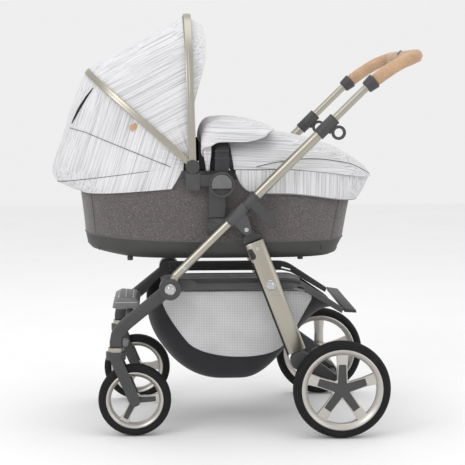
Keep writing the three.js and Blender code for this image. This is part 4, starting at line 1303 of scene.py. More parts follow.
@dataclass
class RearLegs:
    """The rear legs with their brackets, latches, axle and brake."""

    width: float = 54.0
    thick: float = 28.0
    corner: float = 2.7
    slope_degrees: float = 68.86

    def __post_init__(self) -> None:
        """Reads the leg's line from its box."""
        low, high = DATUM.box("rear_leg_right")
        self.y = (low.y + high.y) / 2
        slope = math.radians(self.slope_degrees)
        self.down = Vector((math.cos(slope), 0, -math.sin(slope)))
        self.side = Vector((self.down.z, 0, -self.down.x))
        reach = (high.z - low.z) / math.sin(slope) - self.width / math.tan(slope)
        middle = (low + high) / 2
        self.top = Vector((middle.x, 0, middle.z)) - self.down * reach / 2
        self.foot = Vector((middle.x, 0, middle.z)) + self.down * reach / 2

    def at(self, along: float, across: float, y: float) -> Vector:
        """A point of the leg: along it from its top, and across it towards the front."""
        point = self.top + self.down * along + self.side * across
        return Vector((point.x, y, point.z))

    def build(self) -> None:
        """Builds both legs, the axle and the brake."""
        reach = (self.foot - self.top).length
        for side, out in SIDES.items():
            y = self.y * out
            path = [self.at(along, 0, y) for along in (0, 1.2, reach - 1.2, reach)]
            leg = sweep(path, self.section, self.side)
            leg = settle(leg, f"rear_leg_tube_{side}", CHAMPAGNE, "rear_legs")
            stand_in(leg, f"rear_leg_{side}", "champagne_metal")
            for stem in ("leg_bracket", "axle_housing"):
                refined(f"{stem}_{side}", GREY, "grey_plastic", 1.6)
            self.fittings(side, out, y)
        refined("rear_axle", DARK, "dark_plastic", 0.6)
        refined("brake_pedal", DARK, "dark_plastic", 1.4)

    def section(self, share: float) -> Ring:
        """The leg's flat-sided oval, a little smaller at its very ends."""
        less = 1.6 if share in (0.0, 1.0) else 0.0
        return softened(self.thick - less, self.width - less, self.corner, 56)

    def slab(self, corners: Rows, inner: float, outer: float, rounding: float, edge: float) -> Shape:
        """A flat piece on the leg's face, its corners given along and across the leg."""
        points = [self.at(a, b, 0) for a, b in corners]
        return plate([(p.x, p.z) for p in points], *sorted((inner, outer)), rounding, edge)

    def fittings(self, side: str, out: int, y: float) -> None:
        """The hinge cap, rivets, latch and a black strip of painted shadow along the leg's front edge on
        one side.
        """
        face = y + out * self.thick / 2
        hinge = DATUM.pivot("frame_fold")
        settle(cap(Vector((hinge.x, face - 0.6 * out, hinge.z)), 14.5, out), f"leg_cap_{side}",
               CHROME, "rear_legs")
        head = rivet(self.at(20, -2, face - 0.4 * out), 5.2, out, 2.0)
        settle(head, f"leg_rivet_{side}", CHROME, "rear_legs")
        latch = self.slab(((14, 25.5), (44, 25.5), (44, 13), (36, 9), (14, 13)), face - 17 * out,
                          face + 1.4 * out, 2.5, 1.0)
        settle(latch, f"leg_latch_{side}", DARK, "rear_legs")
        key = self.slab(((24, 22), (40, 22), (40, 17), (24, 17)), face + 1.0 * out, face + 2.2 * out,
                        1.5, 0.4)
        settle(key, f"leg_latch_key_{side}", BLACK, "rear_legs")
        # Painted shadow: a black strip along the leg's front edge stands in for the shade beside the leg.
        strip = [self.at(along, self.width / 2 - 0.6, y + 8 * out) for along in (52, 330)]
        shadow_strip = sweep(strip, lambda s: softened(7, 3.0, 3, 16), self.side)
        settle(shadow_strip, f"leg_gasket_{side}", BLACK, "rear_legs")


# ---------------------------------------------------------------- carrycot


@dataclass
class Carrycot:
    """The carrycot: tray, tweed wall, liner, mattress, brackets and carrying handle."""

    exponent: float = 3.4

    def __post_init__(self) -> None:
        """Reads the cot's box and the height of its tray."""
        self.low, self.high = DATUM.box("cot_shell")
        self.base = DATUM.low("cot_tray").z + 8.0
        self.half = self.high.y
        self.rim = self.high.z
        self.middle = (self.low.x + self.high.x) / 2

    def edge(self, x: float) -> float:
        """The height of the tray's edge, which rises towards the head end."""
        return self.base + 49 + 20 * max(0.0, (self.middle - x) / (self.high.x - self.middle)) ** 2

    def ring(self, angle: float, x0: float, x1: float, wide: float) -> tuple[float, float]:
        """A point of a squarish outline seen from above."""
        a, b = squarish(angle, self.exponent)
        return (x0 + x1) / 2 + (x1 - x0) / 2 * a, wide * b

    def wall(self, angle: float, share: float, proud: float = 0.0) -> Vector:
        """A point of the cot's wall, from the tray's edge (0) to the rim (1)."""
        x, y = self.ring(angle, lerp(self.low.x + 18, self.low.x, share) - proud,
                         lerp(self.high.x - 33, self.high.x, share) + proud,
                         lerp(self.half - 4, self.half, share) + proud)
        return Vector((x, y, lerp(self.edge(x), self.rim, share)))

    def build(self) -> None:
        """Builds every piece of the carrycot but its covers."""
        for make in (self.tray, self.cloth_wall, self.liner, self.mattress, self.handle):
            make()
        for side, out in SIDES.items():
            refined(f"cot_side_bracket_{side}", GREY, "grey_plastic", 1.2)
            refined(f"cot_button_{side}", SILVER, "silver_button", 1.0)
            self.hub_ring(side, out)

    def tray(self) -> None:
        """The moulded tray with its rounded floor, lip, seams and feet."""
        low, foot = self.low.x, self.high.x
        on_edge, on_lip = math.inf, -math.inf
        rings = []
        for head_in, foot_in, side_in, rise in (
                (145, 90, 55, 0.0), (118, 66, 34, 2.2), (87, 51, 22, 9.0), (57, 47, 14, 16.5),
                (35, 46, 9, 24.0), (24, 40, 6, 36.0), (18, 33, 4, on_edge), (19, 34, 5, on_lip),
                (24, 39, 10, on_edge), (50, 60, 20, 22.0), (138, 86, 50, 6.0)):
            ring = []
            for k in range(112):
                x, y = self.ring(2 * math.pi * k / 112, low + head_in, foot - foot_in, self.half - side_in)
                edge = self.edge(x)
                z = {on_edge: edge, on_lip: edge + 0.6}.get(rise, min(self.base + rise, edge - 1))
                ring.append(Vector((x, y, z)))
            rings.append(ring)
        feet = [turned([(0, -8), (7, -8), (8, -7), (8, 3), (0, 3)], Vector((x, y, self.base)), UP, 32)
                for x in (low + 146, foot - 161) for y in (-120, 120)]
        tray = settle(joined(skin(rings), *feet), "tray_shell", TRAY, "carrycot", 40)
        stand_in(tray, "cot_tray", "tray_plastic")
        seams = []
        for out in (-1, 1):
            for x in (low + 60, foot - 92):
                across = (x - (low + foot) / 2) / ((foot - low) / 2 - 25)
                angle = math.acos(max(-1, min(1, power(across, self.exponent / 2))))
                path = []
                for z_share in (0.0, 0.35, 0.7, 1.0):
                    x_at, y_at = self.ring(angle, low + 26, foot - 41, self.half - lerp(9, 4.6, z_share))
                    z_at = lerp(self.base + 22, self.edge(x_at) - 1, z_share)
                    path.append(Vector((x_at, out * (y_at + 0.1), z_at)))
                seams.append(sweep(path, lambda s: circle(0.8, 8), ACROSS))
        settle(joined(*seams), "tray_seams", BLACK, "carrycot")

    def cloth_wall(self) -> None:
        """The tweed wall with a slight slackness, its rim binding and end seams."""
        def place(u: float, v: float) -> Vector:
            """A point of the wall, drawn in a little half way up."""
            point = self.wall(2 * math.pi * u, v)
            slack = -1.8 * math.sin(math.pi * v) + wrinkle(point, 120, 1.6, 3.1) * math.sin(math.pi * v)
            away = Vector((point.x - self.middle, point.y * 2, 0)).normalized()
            return point + away * slack

        wall = cloth(surface(place, 160, 20, True), "tweed_wall", WALL, "carrycot", 2.0)
        stand_in(wall, "cot_shell", "melange_fabric")
        for name, share, radius in (("rim_binding", 1.0, 2.6), ("tray_binding", 0.012, 1.5)):
            path = [self.wall(2 * math.pi * k / 128, share, 0.3) for k in range(129)]
            rope = sweep(path, lambda s: circle(radius, 12), UP, False)
            settle(rope, name, PIPING, "carrycot")
        seams = [sweep([self.wall(angle, k / 12) for k in range(13)], lambda s: circle(1.1, 8), FORE)
                 for angle in (0.62, -0.62, math.pi - 0.55, math.pi + 0.55)]
        settle(joined(*seams), "wall_seams", PIPING, "carrycot")

    def liner(self) -> None:
        """The soft white lining of the inside."""
        def place(u: float, v: float) -> Vector:
            """A point of the lining."""
            angle = 2 * math.pi * u
            x, y = self.ring(angle, lerp(self.low.x + 40, self.low.x + 4, v),
                             lerp(self.high.x - 52, self.high.x - 4, v),
                             lerp(self.half - 20, self.half - 4, v))
            point = Vector((x, y, lerp(self.base + 24, self.rim + 1, v)))
            puff = 3 * math.sin(math.pi * v) * (0.6 + 0.4 * math.cos(angle * 16))
            return point - Vector((point.x - self.middle, point.y * 2, 0)).normalized() * puff

        liner = cloth(surface(place, 160, 18, True), "liner", LINER, "carrycot", 1.2, False)

    def mattress(self) -> None:
        """A crowned mattress, its top quilted in diamonds."""
        middle = DATUM.middle("mattress")
        size = DATUM.high("mattress") - middle

        def place(u: float, v: float) -> Vector:
            """A crowned, closed pad: v from the middle of its underside to the middle of its top."""
            angle = 2 * math.pi * u
            if v < 0.4:
                share, rise = v / 0.4 * 0.95, -1.0
            elif v > 0.6:
                share, rise = (1 - v) / 0.4 * 0.95, 1.0
            else:
                share = 0.95 + 0.05 * math.sin(math.pi * (v - 0.4) / 0.2)
                rise = -math.cos(math.pi * (v - 0.4) / 0.2)
            a, b = squarish(angle, self.exponent)
            x, y = middle.x + size.x * share * a, middle.y + size.y * share * b
            z = middle.z + rise * (size.z - 3)
            if rise == 1.0:
                quilt = abs(math.sin((x + y) / 24) * math.sin((x - y) / 24)) ** 0.4
                z += 3 * quilt - 2
            return Vector((x, y, z))

        pad = settle(surface(place, 120, 90, True), "mattress_pad", LINER, "carrycot", 70, True, 0.0, True)
        stand_in(pad, "mattress", "mattress_fabric")

    def handle(self) -> None:
        """The carrying handle's arch with its stepped sleeves and centre grip."""
        low, high = DATUM.box("carry_handle")
        x = (low.x + high.x) / 2
        wide = high.y - 6.5
        foot = low.z
        top = high.z - 6.5
        path = [Vector((x, wide * power(math.cos(angle), 0.5),
                        foot + (top - foot) * abs(math.sin(angle)) ** 0.62))
                for angle in (math.pi * k / 60 for k in range(61))]

        def section(share: float) -> Ring:
            """The arch's section, wider and thicker in steps towards its feet."""
            end = min(share, 1 - share)
            thick, width = (13.0, 40.0) if end < 0.06 else (11.8, 38.5) if end < 0.1 else (10.4, 36.5)
            return softened(thick, width, 4, 32)

        arch = settle(sweep(path, section, FORE), "carry_arch", DARK, "carrycot", 30)
        stand_in(arch, "carry_handle", "dark_plastic")
        for side, out in SIDES.items():
            steps = []
            for z, width in ((foot + 35, 41.0), (foot + 55, 40.0)):
                ring = [Vector((x + end * width / 2, out * (wide + 6.4), z)) for end in (-1, 1)]
                steps.append(sweep(ring, lambda s: softened(1.4, 2.4, 3, 12), UP))
            settle(joined(*steps), f"handle_steps_{side}", GREY, "carrycot")

    def hub_ring(self, side: str, out: int) -> None:
        """The ring and recessed face round a hub's button, and the hood's knob."""
        button = DATUM.pivot("hood_rear_fold")
        low, high = DATUM.box(f"cot_button_{side}")
        hub = Vector(((low.x + high.x) / 2, 0, low.z + 10.5))
        face = (high.y if out > 0 else low.y) - 4.0 * out
        ring = turned([(29.4, -5), (31, -0.6), (32.4, 0.6), (34.4, 0.4), (35.2, -1.4), (35.2, -6),
                       (29.4, -5)],
                      Vector((hub.x, face, hub.z)), Vector((0, out, 0)), 72)
        settle(ring, f"hub_ring_{side}", GREY, "carrycot")
        plane = (DATUM.high("hood_bow_front").y + 0.8) * out
        knob = turned([(0, 0), (18.6, 0), (19, 1.0), (19, 5), (17.6, 6.6), (16.2, 6.9), (15.4, 6.2),
                       (0, 6.6)],
                      Vector((button.x, plane, button.z - 3)), Vector((0, out, 0)), 56)
        settle(knob, f"hood_knob_{side}", GREY, "carrycot")


# ---------------------------------------------------------------- apron


@dataclass
class Apron:
    """The apron over the foot end: top cover, skirt, folded-back flap and their piping."""

    cot: Carrycot
    exponent: float = 4.2
    sheet: float = 1.6
    front: float = 3.0
    turn_back: float = 60.0
    plan_power: float = 2 / 3.2
    seam_line: Rows = ((0, 735), (68, 734), (137, 735), (197, 731), (240, 727), (284, 722), (327, 715),
                       (397, 708))
    hem_line: Rows = ((1, 731), (8, 710), (21, 689), (42, 673), (77, 669), (154, 667), (198, 663),
                      (241, 657), (284, 650), (332, 645), (397, 645))
    piping_line: Rows = ((60, 742), (85, 748), (137, 758), (197, 763), (240, 762), (284, 756), (327, 747),
                         (362, 731), (385, 717))
    flap_top: Rows = ((-92, -24), (-76, -8), (-61, 0), (-27, 3), (24, -1), (66, -10), (90, -17), (107, -26))
    flap_hem: Rows = ((-92, 800), (-70, 799), (-49, 810), (-10, 812), (32, 812), (62, 818), (83, 826),
                      (95, 838), (107, 842))
    flap_roll: float = 16.5

    def __post_init__(self) -> None:
        """Reads the apron's box."""
        self.high = DATUM.high("apron")
        self.wide = self.high.y
        self.foot = self.high.x
        self.middle = (self.cot.low.x + self.foot) / 2

    def width(self, x: float, foot: float) -> float:
        """The half width at x of a plan that ends at foot."""
        share = min(1.0, max(0.0, (x - self.middle) / (foot - self.middle)))
        return self.wide * max(0.0, 1 - share ** self.exponent) ** (1 / self.exponent)

    def seam(self, x: float) -> float:
        """The height of the seam between skirt and cover."""
        return table(self.seam_line, x)

    def hem(self, x: float) -> float:
        """The height of the skirt's lower edge."""
        return table(self.hem_line, x)

    def crown(self, x: float) -> float:
        """The height of the cover along its middle."""
        share = max(0.0, (x - 40) / (self.foot - 40))
        return self.seam(x) + (self.high.z - self.seam(x) - 1) * max(0.0, 1 - share ** 2) ** 0.7

    def build(self) -> None:
        """Builds the skirt, the cover, the flap and the piping."""
        self.skirt()
        self.cover()
        self.flap()
        self.returns()

    def plan(self, u: float, foot: float) -> tuple[float, float]:
        """A point round the foot end, u from the right front edge to the left one."""
        corner = self.middle + self.turn_back
        straight = corner - self.front
        round_way = 2.2 * self.wide + 2 * (foot - corner)
        whole = 2 * straight + round_way
        at = u * whole
        if at < straight:
            return self.front + at, self.width(self.front + at, foot)
        if at > whole - straight:
            back = whole - at
            return self.front + back, -self.width(self.front + back, foot)
        angle = math.pi / 2 - math.pi * (at - straight) / round_way
        x = corner + (foot - corner) * abs(math.cos(angle)) ** self.plan_power
        return x, power(math.sin(angle), self.plan_power) * self.width(corner, foot)

    def skirt(self) -> None:
        """The elasticated skirt with vertical streaks, wider at its top."""
        def place(u: float, v: float) -> Vector:
            """A point of the skirt: v from its hem to the seam."""
            foot = lerp(self.foot - 38, self.foot - 0.8, v ** 0.8)
            x, y = self.plan(u, foot)
            point = Vector((x, y, lerp(self.hem(x), self.seam(x), v)))
            gather = 1.2 * (1 - v) ** 2 * math.sin(u * 260) + 0.8 * math.sin(u * 97 + 2)
            bulge = 2.2 * math.sin(math.pi * v) - 0.6
            away = Vector((max(0.0, point.x - self.middle), point.y, 0)).normalized()
            return point + away * (gather * 0.5 + bulge * 0.6 - 0.8)

        skirt = cloth(surface(place, 200, 16), "apron_skirt", SKIRT, "carrycot", self.sheet)
        top, bottom = ([place(k / 120, end) for k in range(121)] for end in (1.0, 0.0))
        piping(top, 1.15, "skirt_piping", PIPING, "carrycot")
        piping(bottom, 1.5, "skirt_hem", LIGHT_PIPING, "carrycot", 10)

    def over(self, x: float, turn: float, lift: float = 0.0) -> Vector:
        """A point over the cot: turn from 0 at the right seam, over the top, to 1."""
        wide = self.width(x, self.foot - 0.8) - 0.8
        base = self.seam(x)
        angle = math.pi * turn
        y = wide * power(math.cos(angle), 0.62)
        rise = (self.crown(x) - base) * math.sin(angle) ** 0.92
        return Vector((x, y, base + rise + lift))

    def cover(self) -> None:
        """The cover's one curved sheet and the piping across its side."""
        def place(u: float, v: float) -> Vector:
            """A point of the cover, slightly slack."""
            front = -16 * math.sin(math.pi * u) - 2
            x = lerp(front, self.foot - 1.2, math.sin(v * math.pi / 2))
            point = self.over(x, u)
            fade = math.sin(math.pi * min(1.0, 1.15 * u)) * (1 - v ** 6)
            point.z += (wrinkle(point, 85, 5.0, 1.7) + wrinkle(point, 38, 1.6, 6.0)) * fade
            return point

        cover = cloth(surface(place, 88, 76), "apron_cover", APRON_TOP, "carrycot", self.sheet)
        stand_in(cover, "apron", "white_fabric")
        first, last = self.piping_line[0][0], self.piping_line[-1][0]
        for side, out in SIDES.items():
            path = []
            for k in range(50):
                x = lerp(first, last, k / 49)
                turn = self.turn_at(x, table(self.piping_line, x))
                point = self.over(x, turn if out > 0 else 1 - turn, 0.3)
                path.append(point + Vector((0, out * 0.9, 0)))
            piping(path, 1.0, f"cover_piping_{side}", PIPING, "carrycot")

    def turn_at(self, x: float, z: float) -> float:
        """The turn at which the cover reaches a height at x."""
        rise = (z - self.seam(x)) / max(1.0, self.crown(x) - self.seam(x))
        return math.asin(min(1.0, max(0.0, rise)) ** (1 / 0.92)) / math.pi

    def flap(self) -> None:
        """The padded flap: a thick fold that rolls over at its front."""
        high = DATUM.high("apron_flap")
        x0, x1 = DATUM.low("apron_flap").x, high.x

        def place(u: float, v: float) -> Vector:
            """u over the cot and v from the back corner forwards, round the roll and under."""
            turn = min(1.0, max(0.0, (u - 0.06) / 0.88))
            drop = max(0.0, 0.06 - u, u - 0.94) / 0.06
            roll_at = x0 + 17
            if v < 0.72:
                x = lerp(x1, roll_at, v / 0.72)
                lift, reach = 0.0, 0.0
            else:
                spin = (v - 0.72) / 0.28 * math.pi * 1.15
                x = roll_at - self.flap_roll * math.sin(spin)
                lift = -self.flap_roll * (1 - math.cos(spin))
                reach = -10 * (1 - math.cos(spin))
            angle = math.pi * turn
            wide = high.y - 2 - 16 * ease(x, 10, 100) + reach
            top = high.z - 3 + table(self.flap_top, x)
            hem = table(self.flap_hem, x)
            shoulder = max(top - 40, hem + 3)
            z = shoulder + (top - shoulder) * math.sin(angle) ** 0.95
            y = wide * power(math.cos(angle), 0.7)
            point = Vector((x, y, lerp(z, min(z, hem), drop) + lift))
            soft = wrinkle(point, 60, 3.2, 8.8) + wrinkle(point, 26, 1.0, 2.2)
            soft *= ease(min(u, 1 - u), 0.05, 0.2)
            point.z += soft * (1 - drop)
            point.y += soft * 0.5 * (1 if point.y > 0 else -1)
            return point

        flap = cloth(surface(place, 96, 64), "apron_fold", APRON_TOP, "carrycot", 3.2)
        stand_in(flap, "apron_flap", "white_fabric")
        steps = [k / 60 for k in range(61)]
        edges = (([place(0.0, step * 0.72) for step in steps], UP),
                 ([place(1.0, step * 0.72) for step in steps], UP),
                 ([place(step, 0.0) for step in steps], FORE))
        ropes = [sweep(line, lambda s: circle(1.5, 8), up) for line, up in edges]
        settle(joined(*ropes), "fold_binding", LIGHT_PIPING, "carrycot")

    def returns(self) -> None:
        """The creased strips that run down from the fold to the apron's front corners, with a black sheet
        of painted shade behind each.
        """
        x0 = DATUM.low("apron_flap").x
        for side, out in SIDES.items():
            def place(u: float, v: float) -> Vector:
                """u across the strip and v up it."""
                z = lerp(732, 806, v)
                middle = lerp(x0 + 15.5, x0 + 13, v)
                wide = lerp(4.5, 11, ease(v, 0, 0.8))
                x = middle + wide * (2 * u - 1)
                y = self.wide + 6 + 4 * v - 3 * math.cos(u * 7 + v * 2) + 1.4 * math.sin(v * 19 + u * 4)
                return Vector((x, out * y, z))

            def behind(u: float, v: float) -> Vector:
                """A point of the black sheet behind the strip, painted shade under the fold."""
                y = self.wide - 3 + 2 * math.sin(5 * u)
                return Vector((lerp(x0 - 9, x0 + 62, u), out * y, lerp(736, 808 + 4 * u, v)))

            # Painted shade: a black sheet behind the strip stands in for the shade under the fold.
            lining = cloth(surface(behind, 12, 12), f"apron_lining_{side}", TRIM, "carrycot", 1.2, False)
            strip = cloth(surface(place, 14, 30), f"apron_return_{side}", APRON_TOP, "carrycot", 1.2, False)


# ---------------------------------------------------------------- hood


@dataclass
class Hood:
    """The folding hood: bows, one curved cover in two panels, visor, piping and trim."""

    cot: Carrycot
    sheet: float = 1.6
    hem_angle: float = 188.0
    front_angle: float = 93.0
    rear_angle: float = 138.7
    edge_turn: float = 0.006
    square: float = 2.6
    least_reach: float = 24.0
    side_seam: Rows = ((-455, 846), (-407, 835), (-330, 804), (-253, 774), (-176, 743))
    vent_line: Rows = ((-388, 958), (-408, 930), (-424, 902), (-437, 878), (-449, 858))
    foot_line: Rows = ((-500, 716), (-466, 696), (-428, 672), (-370, 668), (-273, 674), (-150, 684))
    stations: Rows = (
        (93, 413), (100, 390), (110, 374), (121, 372), (131, 380), (138.7, 390), (148, 382), (158, 372),
        (168, 372), (178, 389), (184, 397), (190, 378))

    def __post_init__(self) -> None:
        """Reads the hood's pivot and its width."""
        self.pivot = DATUM.pivot("hood_rear_fold")
        self.wide = DATUM.high("hood_fabric").y - 1.2

    def reach(self, angle: float) -> float:
        """How far the cover's middle stands from the pivot at an angle in degrees."""
        return table(self.stations, angle)

    def arch(self, angle: float, turn: float, inset: float = 0.0) -> Vector:
        """A point of the cover: turn goes from 0 at the right hub, over the top, to 1."""
        spread = math.pi * turn
        radial = (self.reach(angle) - inset) * abs(math.sin(spread)) ** (2 / self.square)
        y = (self.wide - inset) * power(math.cos(spread), 2 / self.square)
        way = math.radians(angle)
        radial = max(radial, self.least_reach)
        return Vector((self.pivot.x + radial * math.cos(way), y, self.pivot.z + radial * math.sin(way)))

    def build(self) -> None:
        """Builds the hood."""
        for make in (self.bows, self.rear_cover, self.front_cover, self.visor, self.seams,
                     self.underfold, self.trim):
            make()

    def place(self, angle: float, share: float) -> Vector:
        """A slack point of the cover at an angle."""
        turn = lerp(self.edge_turn, 1 - self.edge_turn, share)
        point = self.arch(angle, turn)
        away = Vector((point.x - self.pivot.x, point.y * 1.4, point.z - self.pivot.z)).normalized()
        held = (self.rear_angle, self.front_angle, self.hem_angle)
        at_bow = min(abs(angle - line) for line in held) / 14
        calm = min(1.0, at_bow)
        fan = math.sin(math.radians(angle) * 34 + 1.5 * math.sin(share * 6)) * 1.6
        near_hub = max(0.0, 1 - min(share, 1 - share) / 0.2)
        soft = wrinkle(point, 120, 5.5, 4.4) + wrinkle(point, 45, 1.8, 9.1)
        return point + away * (calm * (soft + fan * near_hub))

    def panel(self, name: str, start: float, end: float, stuff: Finish) -> Thing:
        """One panel of the cover between two angles."""
        shape = surface(lambda u, v: self.place(lerp(start, end, v), u), 128, 40)
        piece = cloth(shape, name, stuff, None, self.sheet)
        return piece

    def rear_cover(self) -> None:
        """The panel between the hem and the rear bow."""
        piece = self.panel("hood_rear_panel", self.hem_angle, self.rear_angle + 0.2, HOOD_REAR)
        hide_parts("hood_fabric")
        self.blend_rear(piece)

    def blend_rear(self, piece: Thing) -> None:
        """Bakes a piece's placement into its mesh."""
        way = Vector((0.66, 0, 0.751))
        start = self.pivot + Vector((math.cos(math.radians(self.hem_angle)), 0,
                                     math.sin(math.radians(self.hem_angle)))) * 390
        along = (self.arch(self.rear_angle, 0.5) - start).dot(way)
        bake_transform(piece)

    def front_cover(self) -> None:
        """The panel between the rear bow and the front bow."""
        piece = self.panel("hood_front_panel", self.rear_angle + 0.4, self.front_angle, HOOD_FRONT)
        self.blend_front(piece)

    def blend_front(self, piece: Thing) -> None:
        """Bakes a piece's placement into its mesh."""
        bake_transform(piece)

    def bows(self) -> None:
        """The two bows, each a flat hoop with a raised middle rib."""
        for which, angle, reach, plane, width, thick in (("front", 91.5, 418, 218.5, 21, 5.4),
                                                         ("rear", self.rear_angle, 392, 212.5, 18, 4.4)):
            way = math.radians(angle)
            path = []
            for k in range(121):
                turn = math.pi * k / 120
                radial = reach * abs(math.sin(turn)) ** (2 / self.square)
                y = plane * power(math.cos(turn), 2 / self.square)
                path.append(Vector((self.pivot.x + radial * math.cos(way), y,
                                    self.pivot.z + radial * math.sin(way))))
            across = Vector((-math.sin(way), 0, math.cos(way)))
            hoop = sweep(path, lambda s, w=width, t=thick: softened(t, w, 4, 28), across)
            rib = sweep(path, lambda s, w=width, t=thick: softened(t + 0.6, w * 0.34, 3, 16), across)
            discs = [turned([(0, -2.2), (13, -2.2), (14, -1.5), (14, 1.5), (13, 2.2), (0, 2.2)],
                            Vector((self.pivot.x, out * plane, self.pivot.z)), ACROSS, 40)
                     for out in (-1, 1)]
            piece = settle(joined(hoop, rib, *discs), f"hood_{which}_hoop", CHAMPAGNE, f"hood_{which}_bow")
            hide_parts(f"hood_bow_{which}")

    def visor_place(self, share: float, depth: float) -> Vector:
        """A point of the visor, which stands forward of the front bow."""
        base = self.place(self.front_angle, share)
        height = ease(base.z, self.pivot.z + 95, self.pivot.z + 330)
        length = 56 * height
        droop = 26 * depth ** 1.5 * height
        side = 1 if base.y > 0 else -1
        top = ease(base.z, self.pivot.z + 330, self.pivot.z + 415)
        point = base + Vector((length * depth, 0, 0))
        point.z -= droop * top + 0.5
        point.y -= side * droop * (1 - top) * 0.5
        point.z += wrinkle(point, 60, 2.5, 5.5) * depth
        return point

    def visor(self) -> None:
        """The stiffened visor at the front of the hood."""
        piece = cloth(surface(self.visor_place, 128, 12), "hood_visor", HOOD_FRONT, "hood_front_bow", 2.4)
        path = [self.visor_place(k / 120, 1.0) for k in range(8, 113)]
        piping(path, 1.7, "visor_binding", LINER, "hood_front_bow", 10, FORE)

    def seams(self) -> None:
        """The piping along the bows and the hem, and a slit with a zip."""
        for name, angle, body, radius, stuff in (
                ("seam_rear_bow", self.rear_angle + 0.2, "hood_rear_bow", 1.7, PIPING),
                ("seam_front_bow", self.front_angle + 0.2, "hood_front_bow", 1.6, LIGHT_PIPING),
                ("seam_hem", self.hem_angle - 0.1, "carrycot", 1.3, PIPING)):
            path = [self.place(angle, k / 120) for k in range(8, 113)]
            piping(path, radius, name, stuff, body, 10, FORE)
        for side, out in SIDES.items():
            path = [self.on_cover(x, z, out, 0.8) for x, z in self.dense(self.side_seam, 40)]
            self.blend_rear(piping(path, 0.9, f"panel_seam_{side}", PIPING, None))
            slit = [self.on_cover(x, z, out, 0.7) for x, z in self.dense(self.vent_line, 32)]
            shape = sweep(slit, lambda s: softened(1.6 + 10 * math.sin(math.pi * s) ** 0.8, 1.6, 3, 14),
                          ACROSS)
            self.blend_rear(settle(shape, f"vent_slit_{side}", TRIM, None))

    def dense(self, line: Ring, count: int) -> Ring:
        """Points spread evenly over a broken line."""
        spots = []
        for k in range(count + 1):
            at = k / count * (len(line) - 1)
            i = min(int(at), len(line) - 2)
            spots.append(tuple(lerp(a, b, at - i) for a, b in zip(line[i], line[i + 1])))
        return spots

    def on_cover(self, x: float, z: float, out: int, lift: float) -> Vector:
        """The cover's point at a place seen from the side."""
        away = Vector((x - self.pivot.x, 0, z - self.pivot.z))
        angle = math.degrees(math.atan2(away.z, away.x)) % 360
        share = min(0.999, away.length / self.reach(angle))
        turn = math.asin(share ** (self.square / 2)) / math.pi
        at = (turn - self.edge_turn) / (1 - 2 * self.edge_turn)
        point = self.place(angle, at if out > 0 else 1 - at)
        way = Vector((x - self.pivot.x, out * 400, z - self.pivot.z)).normalized()
        return point + way * lift

    def underfold(self) -> None:
        """The tucked strip between the hem and the cot's wall round the head end."""
        def place(u: float, v: float) -> Vector:
            """u round the head end, v from the hem down to the wall."""
            hem = self.place(self.hem_angle, u)
            angle = math.pi / 2 + math.pi * lerp(0.048, 0.952, u)
            x, y = self.cot.ring(angle, self.cot.low.x - 3, self.cot.high.x, self.cot.half + 3)
            low = Vector((x, y, table(self.foot_line, x)))
            point = hem.lerp(low, v)
            tuck = math.sin(math.pi * v)
            way = Vector((0.4 if point.x < -300 else 0, 0.5 * (1 if y > 0 else -1), -1))
            return point + way * tuck * (3 + wrinkle(point, 45, 3.0, 7.7))

        piece = cloth(surface(place, 120, 14), "hood_underfold", HOOD_REAR, "carrycot", 1.2, False)

    def trim(self) -> None:
        """A small leather tag on each side under the rear bow."""
        for side, out in SIDES.items():
            way = math.radians(147)
            x = self.pivot.x + 191 * math.cos(way)
            z = self.pivot.z + 191 * math.sin(way)
            corners = [(x + dx * 0.8 - dz * 0.6, z + dx * 0.6 + dz * 0.8)
                       for dx, dz in ((-11, -8), (11, -8), (11, 8), (-11, 8))]
            spot = self.on_cover(x, z, out, 0.6)
            inner, outer = sorted((spot.y, spot.y + out * 1.8))
            piece = settle(plate(corners, inner, outer, 2.5, 0.5), f"hood_tag_{side}", TAN, None)
            self.blend_rear(piece)


# ---------------------------------------------------------------- studio


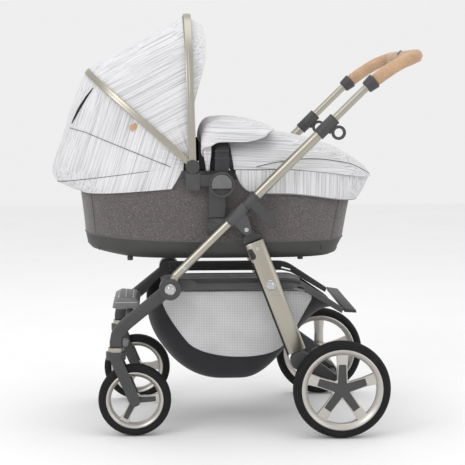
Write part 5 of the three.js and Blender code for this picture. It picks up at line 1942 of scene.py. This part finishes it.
@dataclass
class Studio:
    """The camera, the pale floor and the soft lights."""

    camera_place: tuple[float, float, float] = (-0.2088, -4.010, 0.9761)
    yaw: float = 0.0532
    pitch: float = -0.1084
    lens: float = 107.6
    sensor: float = 36.0
    lamp_aim: tuple[float, float, float] = (0, 0, 0.6)

    def build(self) -> None:
        """Builds the whole stage."""
        self.camera()
        self.floor()
        self.world()
        self.lamps()

    def camera(self) -> None:
        """The camera at the side, a little above the cot."""
        data = bpy.data.cameras.new("camera")
        data.lens = self.lens
        data.sensor_width = self.sensor
        turn = (math.pi / 2 + self.pitch, 0, -self.yaw)
        bpy.context.scene.camera = self.stand(data, self.camera_place, turn)

    def stand(self, data: bpy.types.ID, place: Sequence[float], turn: Sequence[float]) -> Thing:
        """Puts a camera or a lamp in its place."""
        thing = bpy.data.objects.new(data.name, data)
        thing.location = place
        thing.rotation_euler = turn
        bpy.context.scene.collection.objects.link(thing)
        return thing

    def floor(self) -> None:
        """A wide pale floor."""
        size = 14000.0
        shape = surface(lambda u, v: Vector((size * (u - 0.5), size * (v - 0.5), -1.0)), 8, 8)
        bench = Bench("pale_floor")
        place = bench.place(False)
        tone = bench.ramp(bench.noise(place, 3), ((0.3, (0.93, 0.93, 0.93)), (0.7, (0.95, 0.95, 0.95))))
        grain = bench.noise(place, 40)
        stuff = bench.done(tone, bench.span(grain, 0.9, 1.0), bench.bump(grain, 0.02, 0.1),
                           Specular_IOR_Level=0.05)
        settle(shape, "floor", stuff, None, 60, False)

    def world(self) -> None:
        """An even white surround."""
        world = bpy.data.worlds.new("surround")
        world.use_nodes = True
        back = world.node_tree.nodes["Background"]
        back.inputs["Color"].default_value = (1, 1, 1, 1)
        back.inputs["Strength"].default_value = 0.86
        bpy.context.scene.world = world

    def lamps(self) -> None:
        """A large key light, a fill and a light from above."""
        for name, place, size, watts in (("key", (-2.6, -3.2, 3.0), 2.0, 42),
                                         ("fill", (3.0, -3.0, 2.0), 2.4, 14),
                                         ("above", (0, 0.2, 3.6), 3.0, 28)):
            data = bpy.data.lights.new(name, "AREA")
            data.energy = watts
            data.size = size
            aim = Vector(self.lamp_aim) - Vector(place)
            self.stand(data, place, aim.to_track_quat("-Z", "Y").to_euler())
        bpy.context.scene.view_settings.view_transform = "Standard"


def dress_nodes() -> None:
    """Gives every CAD node that is still showing the finish of its material slots."""
    made: dict[str, Stuff] = {}
    for thing in bpy.data.objects:
        if thing.type != "MESH" or thing.get("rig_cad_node") is None:
            continue
        for slot in thing.material_slots:
            name = slot.material.name.split(".")[0] if slot.material else "grey_plastic"
            if name in SLOT_FINISH:
                if name not in made:
                    made[name] = SLOT_FINISH[name].make()
                slot.material = made[name]


def main() -> None:
    """Builds the stroller piece by piece and then the stage."""
    logging.basicConfig(level=logging.INFO)
    cot = Carrycot()
    tubes = Tubes()
    builders = [Chassis(), tubes, Handle(tubes), RearLegs(), Basket(), cot, Apron(cot), Hood(cot)]
    builders += [Wheel(corner, side, **WHEEL_SIZES[corner]) for side in SIDES for corner in Corner]
    for builder in builders:
        builder.build()
        LOG.info("built %s", type(builder).__name__)
    dress_nodes()
    Studio().build()


if __name__ == "__main__":
    main()
